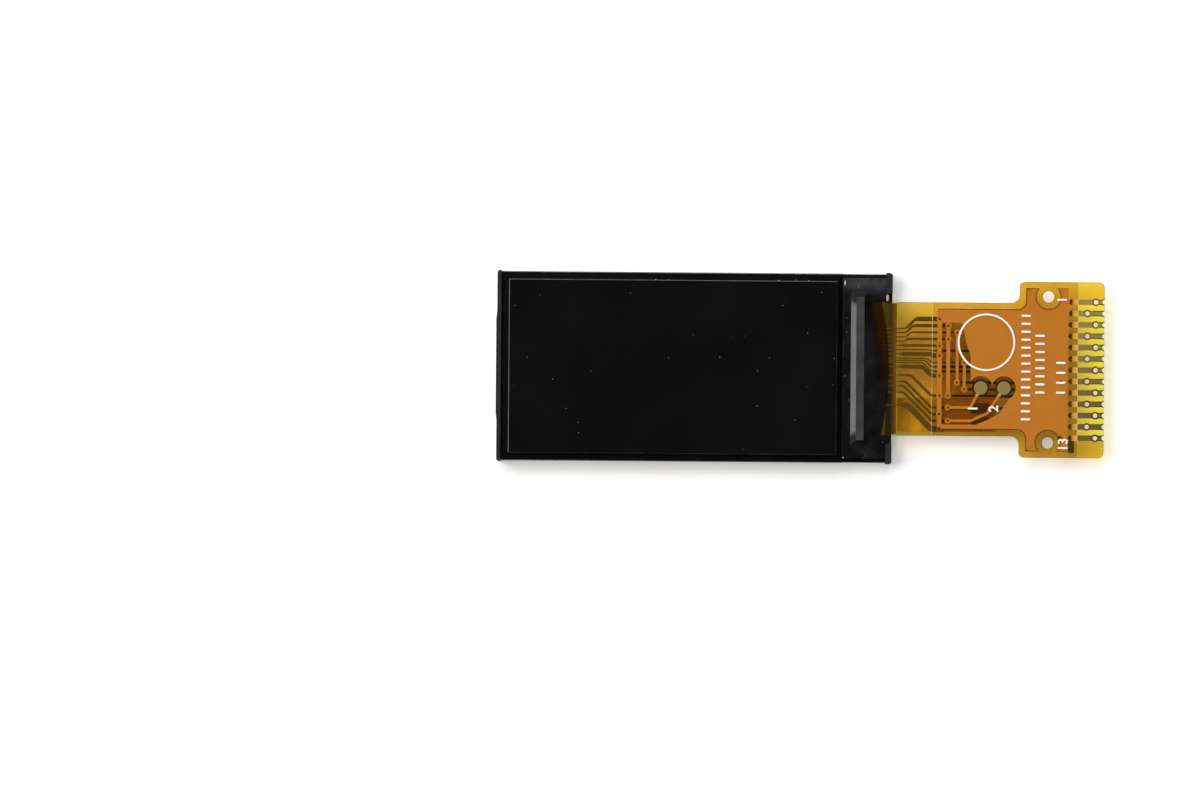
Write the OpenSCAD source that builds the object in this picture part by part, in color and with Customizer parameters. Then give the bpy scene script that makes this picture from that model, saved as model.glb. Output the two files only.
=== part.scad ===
// Small colour display module: a bare liquid crystal cell on an edge-lit backlight,
// with a flexible circuit that carries its conductors out to a row of solder pads.
// X runs along the module towards the flexible circuit, Z towards the viewer.
// The origin is the centre of the display body on its back face.

/* [Display frame] */
// Length of the moulded frame over its end walls
frame_l = 27.95; // [26:0.05:34]
// Width of the moulded frame at its end walls
frame_w = 13.5; // [13:0.05:18]
// Thickness of the plain end wall
plain_wall = 0.29; // [0.2:0.01:0.5]
// Outward crown on the plain end wall
wall_crown = 0.06; // [0.02:0.01:0.15]
// Length of that crown
crown_l = 7.7; // [4:0.1:10]
// Length of the slope at each end of the crown
crown_slope = 0.5; // [0.2:0.1:1]
// Thickness of the corner posts at the cable end
post_t = 0.42; // [0.3:0.01:0.6]
// Height of the end wall and the corner posts
wall_h = 1.2; // [1:0.01:1.35]
// Corner radius of the end wall and the corner posts
corner_r = 0.2; // [0.05:0.01:0.25]
// Width of the long side rails
rail_w = 0.8; // [0.6:0.05:1.2]
// How far the side rails lie inside the edges of the glass
rail_inset = 0.05; // [0.02:0.01:0.2]
// Width of the rail beside the plain end wall
end_rail = 0.7; // [0.5:0.05:1.2]
// Room between the flexible circuit and each corner post
notch_gap = 0.6; // [0.2:0.05:1]

/* [Glass cell] */
// How far the glass lies inside the frame's width on each side
glass_inset = 0.07; // [0.02:0.01:0.2]
// Thickness of the array glass
array_t = 0.3; // [0.2:0.01:0.4]
// Thickness of the colour filter glass
filter_t = 0.3; // [0.2:0.01:0.4]
// Height of the liquid crystal gap
cell_gap = 0.012; // [0.006:0.001:0.03]
// Length of the array glass that the colour filter glass leaves bare
ledge_l = 3.1; // [2.8:0.05:4]
// Width of the seal around the liquid crystal
seal_w = 0.6; // [0.3:0.05:1]
// How far the seal lies inside the colour filter glass
seal_inset = 0.1; // [0.05:0.01:0.3]
// Gap between the glass and each end wall
glass_gap = 0.02; // [0.01:0.01:0.1]

/* [Polarisers] */
// Thickness of the front polariser
front_polariser_t = 0.12; // [0.08:0.01:0.2]
// Margin of the front polariser at the long edges of the glass
polariser_side = 0.6; // [0.3:0.05:1]
// Margin of the front polariser at the plain end
polariser_plain = 0.57; // [0.3:0.01:1]
// Margin of the front polariser at the ledge
polariser_ledge = 0.41; // [0.2:0.01:1]
// Thickness of the rear polariser
rear_polariser_t = 0.11; // [0.08:0.01:0.2]
// Margin of the rear polariser all round
rear_polariser_edge = 0.35; // [0.2:0.05:0.6]

/* [Backlight] */
// Thickness of the reflector film
reflector_t = 0.07; // [0.05:0.01:0.12]
// How far the reflector film laps the frame around its opening
reflector_lap = 0.35; // [0.2:0.05:0.5]
// Thickness of the light guide
guide_t = 0.38; // [0.3:0.01:0.5]
// Thickness of the diffuser film
diffuser_t = 0.045; // [0.03:0.005:0.08]
// Thickness of each prism film
prism_t = 0.055; // [0.04:0.005:0.09]
// Thickness of the black rim tape
tape_t = 0.05; // [0.03:0.005:0.1]
// How far the rim tape laps over the films
tape_lap = 0.35; // [0.2:0.05:0.6]
// Clearance around the light guide and the films
film_gap = 0.08; // [0.03:0.01:0.12]
// Length of each locating lug on the light guide and the films
lug_l = 1.2; // [0.6:0.1:2]
// How far the lugs stand out
lug_w = 0.3; // [0.15:0.05:0.35]
// Spacing of the two lugs on each side
lug_pitch = 11; // [6:0.5:16]

/* [Light emitting diodes] */
// Length of a side-view diode
led_l = 3; // [2:0.1:3.5]
// Depth of a diode, front to back
led_d = 0.8; // [0.6:0.05:1]
// Spacing of the two diodes
led_pitch = 5.8; // [4.6:0.1:6.4]
// From the cable end of the frame to the back of the diodes
led_back = 3.25; // [2.9:0.05:4]
// Length of the phosphor window
window_l = 2.4; // [1.2:0.1:2.6]
// Depth of the phosphor window
window_d = 0.3; // [0.15:0.05:0.45]
// Wall above and below the phosphor window
window_wall = 0.07; // [0.04:0.01:0.1]
// Gap between the diodes and the light guide
led_gap = 0.05; // [0.02:0.01:0.1]
// Pitch of the grooves that the light guide has before each diode
groove_pitch = 0.16; // [0.1:0.01:0.3]
// Depth of those grooves
groove_d = 0.07; // [0.03:0.01:0.15]

/* [Diode flex] */
// Thickness of the flexible strip that carries the diodes
led_flex_t = 0.1; // [0.06:0.01:0.13]
// How far that strip laps over the light guide
led_flex_lap = 0.45; // [0.3:0.05:0.8]
// How far it reaches behind the diodes
led_flex_back = 1; // [0.5:0.1:1.4]
// How far it reaches past the outer ends of the diodes
led_flex_side = 0.4; // [0.2:0.05:0.6]
// Width of the tail that it sends out under the main circuit
tail_w = 2.4; // [1.8:0.1:2.6]
// Bend radius of the tail where it rises
tail_r = 0.6; // [0.4:0.05:1]
// From the frame to the end of the rise
tail_rise = 2.2; // [1.9:0.1:3]
// Length of a solder land on the tail
land_l = 1.2; // [0.6:0.1:1.6]
// Width of a solder land
land_w = 0.7; // [0.4:0.05:0.8]
// How far the rear coverlay laps over the edges of a solder land
land_lap = 0.05; // [0.02:0.01:0.1]
// Spacing of the two solder lands
land_pitch = 1; // [0.9:0.05:1.2]
// From the frame to the middle of the solder lands
land_x = 6.2; // [5.8:0.1:8]

/* [Driver chip] */
// Length of the driver chip
chip_l = 10.12; // [8:0.02:11]
// Width of the driver chip
chip_w = 0.56; // [0.4:0.02:0.8]
// Thickness of the driver chip
chip_t = 0.2; // [0.1:0.01:0.25]
// From the end of the array glass to the chip
chip_back = 1.55; // [1.4:0.05:2]
// Thickness of the bond film under the chip
chip_bond_t = 0.015; // [0.008:0.001:0.03]
// Height of the sealant against the edge of the colour filter glass
sealant_h = 0.14; // [0.08:0.01:0.25]
// Height of the sealant where it lies thin on the ledge
sealant_thin = 0.05; // [0.03:0.005:0.06]
// Width of the sealant fillet beside the chip
fillet_w = 0.37; // [0.15:0.01:0.4]
// How far the sealant stops short of the long edges of the glass
sealant_edge = 0.3; // [0.1:0.05:0.6]
// Thickness of the sealant over the end of the flexible circuit
sealant_lap_t = 0.03; // [0.015:0.005:0.06]
// How far the sealant runs over the flexible circuit at its middle
sealant_lap = 1.25; // [0.6:0.05:1.4]
// How much further it runs there than at the edges of the circuit
sealant_bow = 0.55; // [0.2:0.05:0.58]

/* [Flexible circuit] */
// How far the flexible circuit reaches past the frame
flex_out = 14.96; // [14:0.02:22]
// Width of the neck
neck_w = 9.42; // [8.4:0.02:10]
// How far the wide end lies inside the frame's width on each side
head_inset = 0.545; // [0.2:0.005:0.9]
// Length of the wide end
head_l = 6; // [5.4:0.05:7]
// Radius of the outer corners
head_r = 0.38; // [0.1:0.02:0.6]
// Radius of the inner corners at the shoulder
shoulder_r = 0.6; // [0.2:0.05:1]
// How far the circuit laps over the ledge of the glass
bond_lap = 1.05; // [0.6:0.05:1.25]
// Thickness of the bond film between circuit and glass
flex_bond_t = 0.015; // [0.008:0.001:0.03]
// Thickness of the base film
base_t = 0.025; // [0.012:0.001:0.05]
// Thickness of the copper on each side
copper_t = 0.018; // [0.009:0.001:0.035]
// Thickness of each coverlay over the copper
coverlay_t = 0.035; // [0.02:0.005:0.06]
// From the frame to the edge of the front coverlay
front_cover_x = 2.83; // [2.6:0.01:2.95]
// From the frame to the edge of the rear coverlay
rear_cover_x = 0.35; // [0.1:0.01:0.8]
// From the end of the circuit to the edges of both coverlays
cover_stop = 1.88; // [1.6:0.02:2.2]

/* [Solder pads] */
// Pitch of the solder pads
pad_pitch = 0.8; // [0.7:0.01:0.85]
// Width of a solder pad
pad_w = 0.4; // [0.25:0.01:0.45]
// Length of a solder pad, with the stretch under the coverlay
pad_l = 2.4; // [2.25:0.05:3]
// Diameter of the hole in each pad
pad_hole_d = 0.32; // [0.2:0.01:0.4]
// Diameter of the ring around that hole
pad_ring_d = 0.55; // [0.45:0.01:0.62]
// From the end of the circuit to the holes of the odd pads
odd_hole_x = 0.62; // [0.5:0.01:0.7]
// From the end of the circuit to the holes of the even pads
even_hole_x = 1.21; // [1.1:0.01:1.35]
// How far the front of each pad runs under the coverlay
stub_l = 0.39; // [0.2:0.01:0.5]

/* [Tooling holes] */
// Diameter of the two tooling holes
tool_d = 0.8; // [0.6:0.05:1]
// From the long edges of the wide end to the tooling holes
tool_edge = 1.055; // [0.8:0.005:1.2]
// From the end of the circuit to the tooling holes
tool_x = 3.96; // [3.6:0.02:4.3]

/* [Test pads] */
// Diameter of the two test pads
test_d = 0.95; // [0.6:0.05:1.1]
// Diameter of the coverlay opening over each test pad
test_open_d = 1.25; // [1.15:0.05:1.5]
// From the frame to the first test pad
test_x = 6.26; // [6:0.02:6.8]
// Spacing of the test pads
test_pitch = 1.63; // [1.4:0.01:2]
// How far the test pads lie off the middle of the circuit
test_off = 1.31; // [1:0.01:1.5]
// Clearance between a test pad and the copper area
test_gap = 0.37; // [0.2:0.01:0.45]

/* [Copper pattern] */
// Margin of the copper area at the edges of the circuit
pour_edge = 0.45; // [0.2:0.01:0.6]
// From the end of the circuit to the edge of the copper area
pour_stop = 2.55; // [2.45:0.01:2.8]
// Margin of the outermost conductor, at its centre
row_edge = 0.48; // [0.4:0.01:0.6]
// Pitch of the fingers that are bonded to the glass
finger_pitch = 0.15; // [0.12:0.01:0.16]
// Width of a bonded finger
finger_w = 0.08; // [0.05:0.005:0.09]
// Width of a signal line
signal_w = 0.1; // [0.07:0.005:0.14]
// Width of a line on its way to a solder pad
run_w = 0.18; // [0.08:0.01:0.2]
// Bend radius of the conductors
bend_r = 0.4; // [0.2:0.05:0.6]
// From the frame to where the fingers spread out into rows
fan_start = 0.8; // [0.6:0.05:1]
// How far the spreading runs under the front coverlay
fan_lap = 0.1; // [0.05:0.01:0.15]
// From the edge of the rear coverlay to where the fingers widen
taper_gap = 0.12; // [0.05:0.01:0.2]
// Length over which a line widens
taper_l = 0.35; // [0.2:0.05:0.45]
// Length over which a line widens into its solder pad
pad_taper = 0.1; // [0.05:0.01:0.2]
// From the frame to the first cross bar
bar_x = 3.34; // [3.3:0.01:3.5]
// From the first cross bar to the second
second_bar_x = 0.61; // [0.5:0.01:0.62]
// From the first cross bar to the third
third_bar_x = 1.24; // [1.2:0.01:1.26]
// From the first cross bar to the fourth
fourth_bar_x = 1.75; // [1.72:0.01:1.9]
// Width of the first cross bar
ground_bar_w = 0.32; // [0.2:0.01:0.36]
// Width of the second cross bar
second_bar_w = 0.27; // [0.15:0.01:0.3]
// Width of the other cross bars and of the lines to the test pads
bar_w = 0.2; // [0.1:0.01:0.24]
// Hole diameter of a plated via
via_d = 0.2; // [0.1:0.01:0.24]
// Thickness of the plating in that hole
via_plating = 0.025; // [0.01:0.005:0.04]
// From the edge of the copper area to the vias of the ground pads
ground_via_gap = 0.5; // [0.35:0.05:0.8]
// From the first cross bar to the bends of the lines that feed the test pads
test_bend_x = 2.2; // [2.1:0.05:2.4]
// From those bends to the second bend of the outer line
test_bend_l = 1.2; // [1:0.05:1.4]
// Diameter of the copper ring around a via
via_ring_d = 0.44; // [0.34:0.01:0.46]

/* [Hidden] */
$fn = 48;
// how far a cut runs past what it cuts
over = 0.2;
// least corner radius of a plan that is drawn in
least_r = 0.05;
// greatest share of a jog that its two bends may take, and the turn between two stations
bend_share = 0.9;
bend_step = 15;

// heights of the layers, from the back face upwards
z_guide = reflector_t;
z_diffuser = z_guide + guide_t;
z_lower_prism = z_diffuser + diffuser_t;
z_upper_prism = z_lower_prism + prism_t;
z_tape = z_upper_prism + prism_t;
z_rear_polariser = z_tape + tape_t;
z_array = z_rear_polariser + rear_polariser_t;
z_cell = z_array + array_t;
z_filter = z_cell + cell_gap;
z_front_polariser = z_filter + filter_t;
z_rear_copper = z_cell + flex_bond_t;
z_base = z_rear_copper + copper_t;
z_front_copper = z_base + base_t;
z_rear_cover = z_rear_copper - coverlay_t;
sealant_rise = z_front_copper - z_cell + sealant_lap_t;

// places along the module
x_plain = -frame_l / 2;
x_cable = frame_l / 2;
x_wall = x_plain + wall_crown;
x_inner = x_wall + plain_wall;
x_glass = x_inner + glass_gap;
x_glass_end = x_cable - post_t - glass_gap;
x_filter_end = x_glass_end - ledge_l;
x_well = x_inner + end_rail;
x_led_back = x_cable - led_back;
x_led = x_led_back - led_d;
x_guide = x_well + film_gap;
x_guide_end = x_led - led_gap;
x_strip = x_guide_end - led_flex_lap;
x_strip_end = x_led_back + led_flex_back;
x_film_end = x_strip - film_gap;
x_chip_end = x_glass_end - chip_back;
x_chip = x_chip_end - chip_w;
x_flex = x_glass_end - bond_lap;
x_flex_end = x_cable + flex_out;
x_shoulder = x_flex_end - head_l;
x_front_cover = x_cable + front_cover_x;
x_rear_cover = x_cable + rear_cover_x;
x_cover_end = x_flex_end - cover_stop;
x_pad = x_flex_end - pad_l;
x_pour_end = x_flex_end - pour_stop;
x_tool = x_flex_end - tool_x;
x_land = x_cable + land_x;

// widths
glass_w = frame_w - 2 * glass_inset;
rails_w = glass_w - 2 * rail_inset;
well_w = rails_w - 2 * rail_w;
guide_w = well_w - 2 * film_gap;
strip_w = led_pitch + led_l + 2 * led_flex_side;
post_y = neck_w / 2 + notch_gap;
head_w = frame_w - 2 * head_inset;
tool_pitch = head_w - 2 * tool_edge;
cell_inner = seal_inset + seal_w;
via_bore_d = via_d - 2 * via_plating;
lug_mid = (x_guide + x_guide_end) / 2;

pad_n = 13;
// conductor rows lie on a grid across the neck, nine steps each side of its middle
row_steps = 9;
row_pitch = (neck_w / 2 - row_edge) / row_steps;
fan_x = x_cable + fan_start;
fan_end = x_front_cover + fan_lap;
taper_x = x_rear_cover + taper_gap;
pad_fan_end = x_pad - 2 * pad_taper;
bar_places = [0, second_bar_x, third_bar_x, fourth_bar_x];
bar_widths = [ground_bar_w, second_bar_w, bar_w, bar_w];
bar_tops = [7.5, 6.5, 5.5, 1];
bar_ends = [-9, -4, -2, -3];
bar_pads = [0, 10, 6, 7];
// each line from the glass: bonded finger, row, width in signal lines, and the bar it ends at
barred_lines = [[19, 7.5, 3.3, 0], [17, 6.5, 2.4, 1], [15, 5.5, 1.4, 2], [13, 4.5, 1.8, 1],
    [11, 3.5, 1.8, 0], [7, 2, 3, 0], [5, 1, 1, 3], [1, -1, 3, 0], [-3, -4, 2, 0],
    [-6, -5.75, 1.8, 1], [-8, -6.75, 1.8, 0], [-11, -7.75, 1.8, 1], [-17, -9, 4, 0]];
// each line that runs through to a solder pad: bonded finger, row and pad
through_lines = [[9, 2.75, 3], [4, 0.34, 4], [3, -0.34, 5]];
// rows of the two lines that feed the test pads, and the bends of those lines
test_rows = [-5.75, -7.75];
outer_row = -6.6;
bend_x = bar(0) + test_bend_x;
test_bends = [[[bend_x, row(test_rows[0])]],
    [[bend_x, row(test_rows[1])], [bend_x + test_bend_l, row(outer_row)]]];
// right edge of the window around the cross bars: bar, row and clearance in via rings
window_edge = [[2, 7, 0.8], [3, 3.75, 0.35], [3, 2.25, 1]];
// pads that join the copper area, and pads that feed the diodes
ground_pads = [8, 13];
led_pads = [11, 12];
plain_pads = [1, 2, 9];
ground_via_x = x_pour_end - ground_via_gap;
// row that the tail of the diode flex is centred on
tail_y = row(-6.9);

function row(n) = n * row_pitch;
function bar(i) = x_cable + bar_x + bar_places[i];
function pad_y(n) = (pad_n + 1 - 2 * n) / 2 * pad_pitch;
function pad_hole_x(n) = x_flex_end - (n % 2 == 1 ? odd_hole_x : even_hole_x);
function test_place(i) = [x_cable + test_x + i * test_pitch, -test_off];
function land_y(i) = tail_y + (0.5 - i) * land_pitch;

// a band is a list of [x, y, heading, width] stations, and strip() is its outline
function strip(path) = concat(
    [for (p = path) [p[0] - p[3] / 2 * sin(p[2]), p[1] + p[3] / 2 * cos(p[2])]],
    [for (i = [len(path) - 1:-1:0]) let (p = path[i])
        [p[0] + p[3] / 2 * sin(p[2]), p[1] - p[3] / 2 * cos(p[2])]]);

// radius that leaves some straight between the two bends of a jog
function jog_r(shift, r) = min(r, bend_share * abs(shift) / (2 - sqrt(2)));
function jog_l(shift, r) = abs(shift) + 2 * jog_r(shift, r) * (sqrt(2) - 1);

// stations of a 45 degree jog from height y0 to y1 that ends at x, with round bends,
// as its width goes from w0 to w1; a very small shift is a plain slant
function jog(x, y0, y1, r, w0, w1) = let (
    shift = y1 - y0,
    q = jog_r(shift, r),
    start = x - jog_l(shift, r),
    side = sign(shift))
    abs(shift) < r / 4 ? [[x - r, y0, 0, w0], [x, y1, 0, w1]] : concat(
        [for (a = [0:bend_step:45]) [start + q * sin(a), y0 + side * q * (1 - cos(a)), side * a,
            w0 + (w1 - w0) * a / 90]],
        [for (a = [45:-bend_step:0]) [x - q * sin(a), y1 - side * q * (1 - cos(a)), side * a,
            w1 + (w0 - w1) * a / 90]]);

// stations of a solder land for the tail of the diode flex
function land_stations(i) = let (y = land_y(i), end = x_land + land_l / 2)
    [[x_land - land_l / 2, y, 0, land_w], [end, y, 0, land_w], [end + taper_l, y, 0, run_w]];

// where a jog ends: lines that climb start together, and lines that fall end together
// unless one needs more room
function fan_stop(y0, y1) = let (run = jog_l(y1 - y0, bend_r))
    y1 > y0 ? fan_x + run : max(fan_end, taper_x + taper_l / 2 + run);

// stations of a line from its bonded finger to its row: lines that climb widen on the way,
// and the others before their jog
function glass_line(finger, n, w) = let (
    y0 = finger * finger_pitch,
    y1 = row(n),
    climbs = y1 > y0,
    stop = fan_stop(y0, y1),
    room = stop - jog_l(y1 - y0, bend_r) - taper_x)
    concat([[x_flex, y0, 0, finger_w], [taper_x, y0, 0, finger_w]],
        climbs || room < 2 * taper_l ? [] : [[taper_x + taper_l, y0, 0, w]],
        jog(stop, y0, y1, bend_r, climbs ? finger_w : w, w));

// stations of the stretch from a row at height y0 to the end of solder pad n
function pad_line(y0, n) = let (y1 = pad_y(n))
    concat(jog(pad_fan_end, y0, y1, bend_r, run_w, run_w), pad_stations(n));

// stations of a solder pad and of the line that enters it
function pad_stations(n) = let (y = pad_y(n))
    [[x_pad - pad_taper, y, 0, run_w], [x_pad, y, 0, pad_w], [x_flex_end, y, 0, pad_w]];

// stations of a line that runs from its bonded finger through to solder pad n
function through_line(finger, r, n) = let (
    y = row(r),
    stop = fan_stop(finger * finger_pitch, y))
    concat(glass_line(finger, r, signal_w), [[stop + taper_l, y, 0, run_w]], pad_line(y, n));

module plate(x0, x1, w, z, t) {
    translate([x0, -w / 2, z]) cube([x1 - x0, w, t]);
}

// plan of a plate with locating lugs, grown by a margin
module lug_plan(x0, x1, w, grow) {
    translate([x0 - grow, -w / 2 - grow]) square([x1 - x0 + 2 * grow, w + 2 * grow]);
    for (side = [-1, 1])
        translate([lug_mid + side * lug_pitch / 2 - lug_l / 2 - grow, -w / 2 - lug_w - grow])
            square([lug_l + 2 * grow, w + 2 * lug_w + 2 * grow]);
}

// plan of the flexible circuit, drawn in by a margin
module flex_plan(inset, x0, x1) {
    half = head_w / 2 - inset;
    r = max(head_r - inset, least_r);
    near = x_shoulder + inset;
    far = x_flex_end - inset;
    intersection() {
        translate([x0, -head_w]) square([x1 - x0, 2 * head_w]);
        union() {
            translate([x_flex, inset - neck_w / 2])
                square([(near + far) / 2 - x_flex, neck_w - 2 * inset]);
            translate([near, r - half]) square([far - near, 2 * (half - r)]);
            translate([near + r, -half]) square([far - near - 2 * r, 2 * half]);
            for (x = [near + r, far - r], side = [-1, 1])
                translate([x, side * (half - r)]) circle(r);
            for (side = [-1, 1]) shoulder(near, side * (neck_w / 2 - inset), side, shoulder_r);
        }
    }
}

// round inner corner where the neck meets the wide end
module shoulder(x, y, side, r) {
    difference() {
        translate([x - r, side > 0 ? y - over : y - r]) square([r + over, r + over]);
        translate([x - r, y + side * r]) circle(r);
    }
}

// straight conductor with round ends
module track(a, b, w) {
    run = norm(b - a);
    translate(a) rotate(atan2(b[1] - a[1], b[0] - a[0])) translate([0, -w / 2]) square([run, w]);
    translate(a) circle(d = w);
    translate(b) circle(d = w);
}

// places of every plated via
module via_places() {
    for (p = barred_lines) translate([bar(p[3]), row(p[1])]) children();
    for (i = [1:3]) translate([bar(i), row(bar_ends[i])]) children();
    for (n = ground_pads) translate([ground_via_x, pad_y(n)]) children();
}

module tool_holes() {
    for (side = [-1, 1]) translate([x_tool, side * tool_pitch / 2]) circle(d = tool_d);
}

module pad_holes() {
    for (n = [1:pad_n]) {
        translate([pad_hole_x(n), pad_y(n)]) circle(d = pad_hole_d);
        translate([x_flex_end, pad_y(n)]) circle(d = pad_hole_d);
    }
}

// one rear conductor: its outline, a bored ring where it meets a via, and the holes of its pad
module conductor(path, via, pad) {
    linear_extrude(copper_t) difference() {
        union() {
            polygon(strip(path));
            if (via) translate(via) circle(d = via_ring_d);
            if (pad) translate([pad_hole_x(pad), pad_y(pad)]) circle(d = pad_ring_d);
        }
        if (via) translate(via) circle(d = via_bore_d);
        if (pad) for (x = [pad_hole_x(pad), x_flex_end])
            translate([x, pad_y(pad)]) circle(d = pad_hole_d);
    }
}

// area around the cross bars and the test pads that the copper area leaves free
module routing_window() {
    low = row(bar_ends[0]) + ground_bar_w;
    left = bar(0) - via_ring_d;
    edge = [for (e = window_edge) [bar(e[0]) + e[2] * via_ring_d, row(e[1])]];
    reach = test_d / 2 + test_gap;
    last = test_place(1);
    bend = test_bends[1][1];
    polygon(concat([[left, edge[0][1]]], edge, [[edge[2][0], last[1]], [last[0] + reach, last[1]],
        bend + [reach, 0], bend - [0, test_gap + bar_w / 2],
        [bend_x + test_gap, low], [left, low]]));
    for (i = [0, 1]) translate(test_place(i)) circle(reach);
}

module via_ring(x, y) {
    translate([x, y]) circle(d = via_ring_d);
}

// the front copper: the area, the cross bars, the test pads with their lines, and the pads
module front_plan() {
    difference() {
        front_outline();
        via_places() circle(d = via_bore_d);
    }
}

module front_outline() {
    difference() {
        flex_plan(pour_edge, bar(0) - bar_widths[0] / 2, x_pour_end);
        routing_window();
        tool_clearance();
    }
    for (i = [0:3]) {
        track([bar(i), row(bar_tops[i])], [bar(i), row(bar_ends[i])], bar_widths[i]);
        via_ring(bar(i), row(bar_ends[i]));
    }
    for (p = barred_lines) via_ring(bar(p[3]), row(p[1]));
    for (i = [0, 1]) {
        route = concat([[bar(1), row(test_rows[i])]], test_bends[i], [test_place(i)]);
        for (k = [1:len(route) - 1]) track(route[k - 1], route[k], bar_w);
        translate(test_place(i)) circle(d = test_d);
    }
    for (n = [1:pad_n]) front_pad(n);
}

// front of a solder pad: a bar that starts under the coverlay, with a ring and its holes
module front_pad(n) {
    difference() {
        union() {
            translate([x_cover_end - stub_l, pad_y(n) - pad_w / 2]) square([stub_l + cover_stop, pad_w]);
            translate([pad_hole_x(n), pad_y(n)]) circle(d = pad_ring_d);
        }
        for (x = [pad_hole_x(n), x_flex_end]) translate([x, pad_y(n)]) circle(d = pad_hole_d);
    }
}

module tool_clearance() {
    for (side = [-1, 1])
        translate([x_tool, side * tool_pitch / 2]) circle(d = tool_d + 2 * pour_edge);
}

module backlight_frame() {
    color("#161618") difference() {
        union() {
            plate(x_wall, x_cable, rails_w, 0, z_tape);
            linear_extrude(wall_h) end_wall_plan();
            for (side = [-1, 1]) linear_extrude(wall_h) corner_post_plan(side);
            plate(x_cable - post_t, x_cable, frame_w - 2 * corner_r, 0, z_tape);
        }
        translate([0, 0, -over]) linear_extrude(z_tape + 2 * over)
            lug_plan(x_guide, x_guide_end, guide_w, film_gap);
        plate(x_guide - film_gap - reflector_lap, x_strip_end, well_w + 2 * reflector_lap,
            -over, reflector_t + over);
        led_room(z_guide, z_tape);
        plate(x_strip - film_gap, x_strip_end + film_gap, strip_w + 2 * film_gap, z_diffuser, z_tape);
        translate([x_strip_end, tail_y - tail_w / 2 - film_gap, z_diffuser - film_gap])
            cube([x_cable - x_strip_end + over, tail_w + 2 * film_gap, z_tape]);
    }
}

// plan of the plain end wall, with its low crown
module end_wall_plan() {
    y = frame_w / 2 - corner_r;
    translate([x_wall, -y]) square([plain_wall, 2 * y]);
    translate([x_wall + corner_r, -frame_w / 2]) square([plain_wall - corner_r, frame_w]);
    for (side = [-1, 1]) intersection() {
        translate([x_wall + corner_r, side * y]) circle(corner_r);
        translate([x_wall - over, -frame_w]) square([plain_wall + over, 2 * frame_w]);
    }
    polygon([[x_wall, -crown_l / 2], [x_plain, crown_slope - crown_l / 2],
        [x_plain, crown_l / 2 - crown_slope], [x_wall, crown_l / 2]]);
}

// plan of a corner post beside the flexible circuit
module corner_post_plan(side) {
    y = frame_w / 2 - corner_r;
    translate([x_cable - post_t, side > 0 ? post_y : -y]) square([post_t, y - post_y]);
    translate([x_cable - post_t, side > 0 ? y : -frame_w / 2]) square([post_t - corner_r, corner_r]);
    intersection() {
        translate([x_cable - corner_r, side * y]) circle(corner_r);
        translate([x_cable - post_t, -frame_w]) square([post_t + over, 2 * frame_w]);
    }
}

// pockets for the diodes, open to the light guide
module led_room(z0, z1) {
    for (side = [-1, 1])
        translate([x_guide_end, side * led_pitch / 2 - led_l / 2 - film_gap, z0])
            cube([led_gap + led_d + film_gap, led_l + 2 * film_gap, z1 - z0 + over]);
}

module reflector_film() {
    color("#f1f2f2")
        plate(x_guide - reflector_lap, x_strip_end - film_gap, guide_w + 2 * reflector_lap, 0, reflector_t);
}

module light_guide() {
    color("#e6f0f4") translate([0, 0, z_guide]) linear_extrude(guide_t) difference() {
        lug_plan(x_guide, x_guide_end, guide_w, 0);
        for (side = [-1, 1]) guide_grooves(side * led_pitch / 2);
    }
}

// row of small grooves that spread the light of one diode
module guide_grooves(y) {
    count = floor(window_l / groove_pitch);
    flare = over * groove_pitch / groove_d / 2;
    for (i = [0:count - 1]) {
        mid = y + (i - (count - 1) / 2) * groove_pitch;
        polygon([[x_guide_end - groove_d, mid], [x_guide_end + over, mid - flare],
            [x_guide_end + over, mid + flare]]);
    }
}

module optical_film(z, t) {
    translate([0, 0, z]) linear_extrude(t) lug_plan(x_guide, x_film_end, guide_w, 0);
}

module diffuser_film() {
    color("#f4f4ef") optical_film(z_diffuser, diffuser_t);
}

module lower_prism_film() {
    color("#dfe6ea") optical_film(z_lower_prism, prism_t);
}

module upper_prism_film() {
    color("#e4eaee") optical_film(z_upper_prism, prism_t);
}

module rim_tape() {
    color("#101011") difference() {
        plate(x_glass, x_glass_end, rails_w, z_tape, tape_t);
        plate(x_guide + tape_lap, x_film_end - tape_lap, guide_w - 2 * tape_lap,
            z_tape - over, tape_t + 2 * over);
    }
}

module led_window(y, grow) {
    translate([x_led - grow, y - window_l / 2, z_guide + window_wall])
        cube([window_d + grow, window_l, guide_t - 2 * window_wall]);
}

module led_housings() {
    color("#f5f4ee") for (side = [-1, 1]) difference() {
        translate([x_led, side * led_pitch / 2 - led_l / 2, z_guide]) cube([led_d, led_l, guide_t]);
        led_window(side * led_pitch / 2, over);
    }
}

module led_phosphors() {
    color("#f0d84a") for (side = [-1, 1]) led_window(side * led_pitch / 2, 0);
}

// stations of the tail as it leaves the frame and rises to the main circuit
function tail_path() = let (
    t = led_flex_t,
    low = z_diffuser + t / 2,
    high = z_rear_cover - t / 2)
    concat([[x_strip_end - over, low, 0, t]], jog(x_cable + tail_rise, low, high, tail_r, t, t),
        [[x_land + land_l, high, 0, t]]);

module led_flex() {
    color("#c98a1c") {
        plate(x_strip, x_strip_end, strip_w, z_diffuser, led_flex_t);
        translate([0, tail_y + tail_w / 2, 0]) rotate([90, 0, 0]) linear_extrude(tail_w)
            polygon(strip(tail_path()));
    }
}

// openings in the rear coverlay over the solder lands
module land_plan() {
    for (i = [0, 1]) translate([x_land - land_l / 2 + land_lap, land_y(i) - land_w / 2 + land_lap])
        square([land_l - 2 * land_lap, land_w - 2 * land_lap]);
}

module led_solder() {
    color("#b9bcbf") translate([0, 0, z_rear_cover]) linear_extrude(coverlay_t) land_plan();
}

module rear_polariser() {
    e = rear_polariser_edge;
    color("#33363a")
        plate(x_glass + e, x_glass_end - e, glass_w - 2 * e, z_rear_polariser, rear_polariser_t);
}

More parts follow.
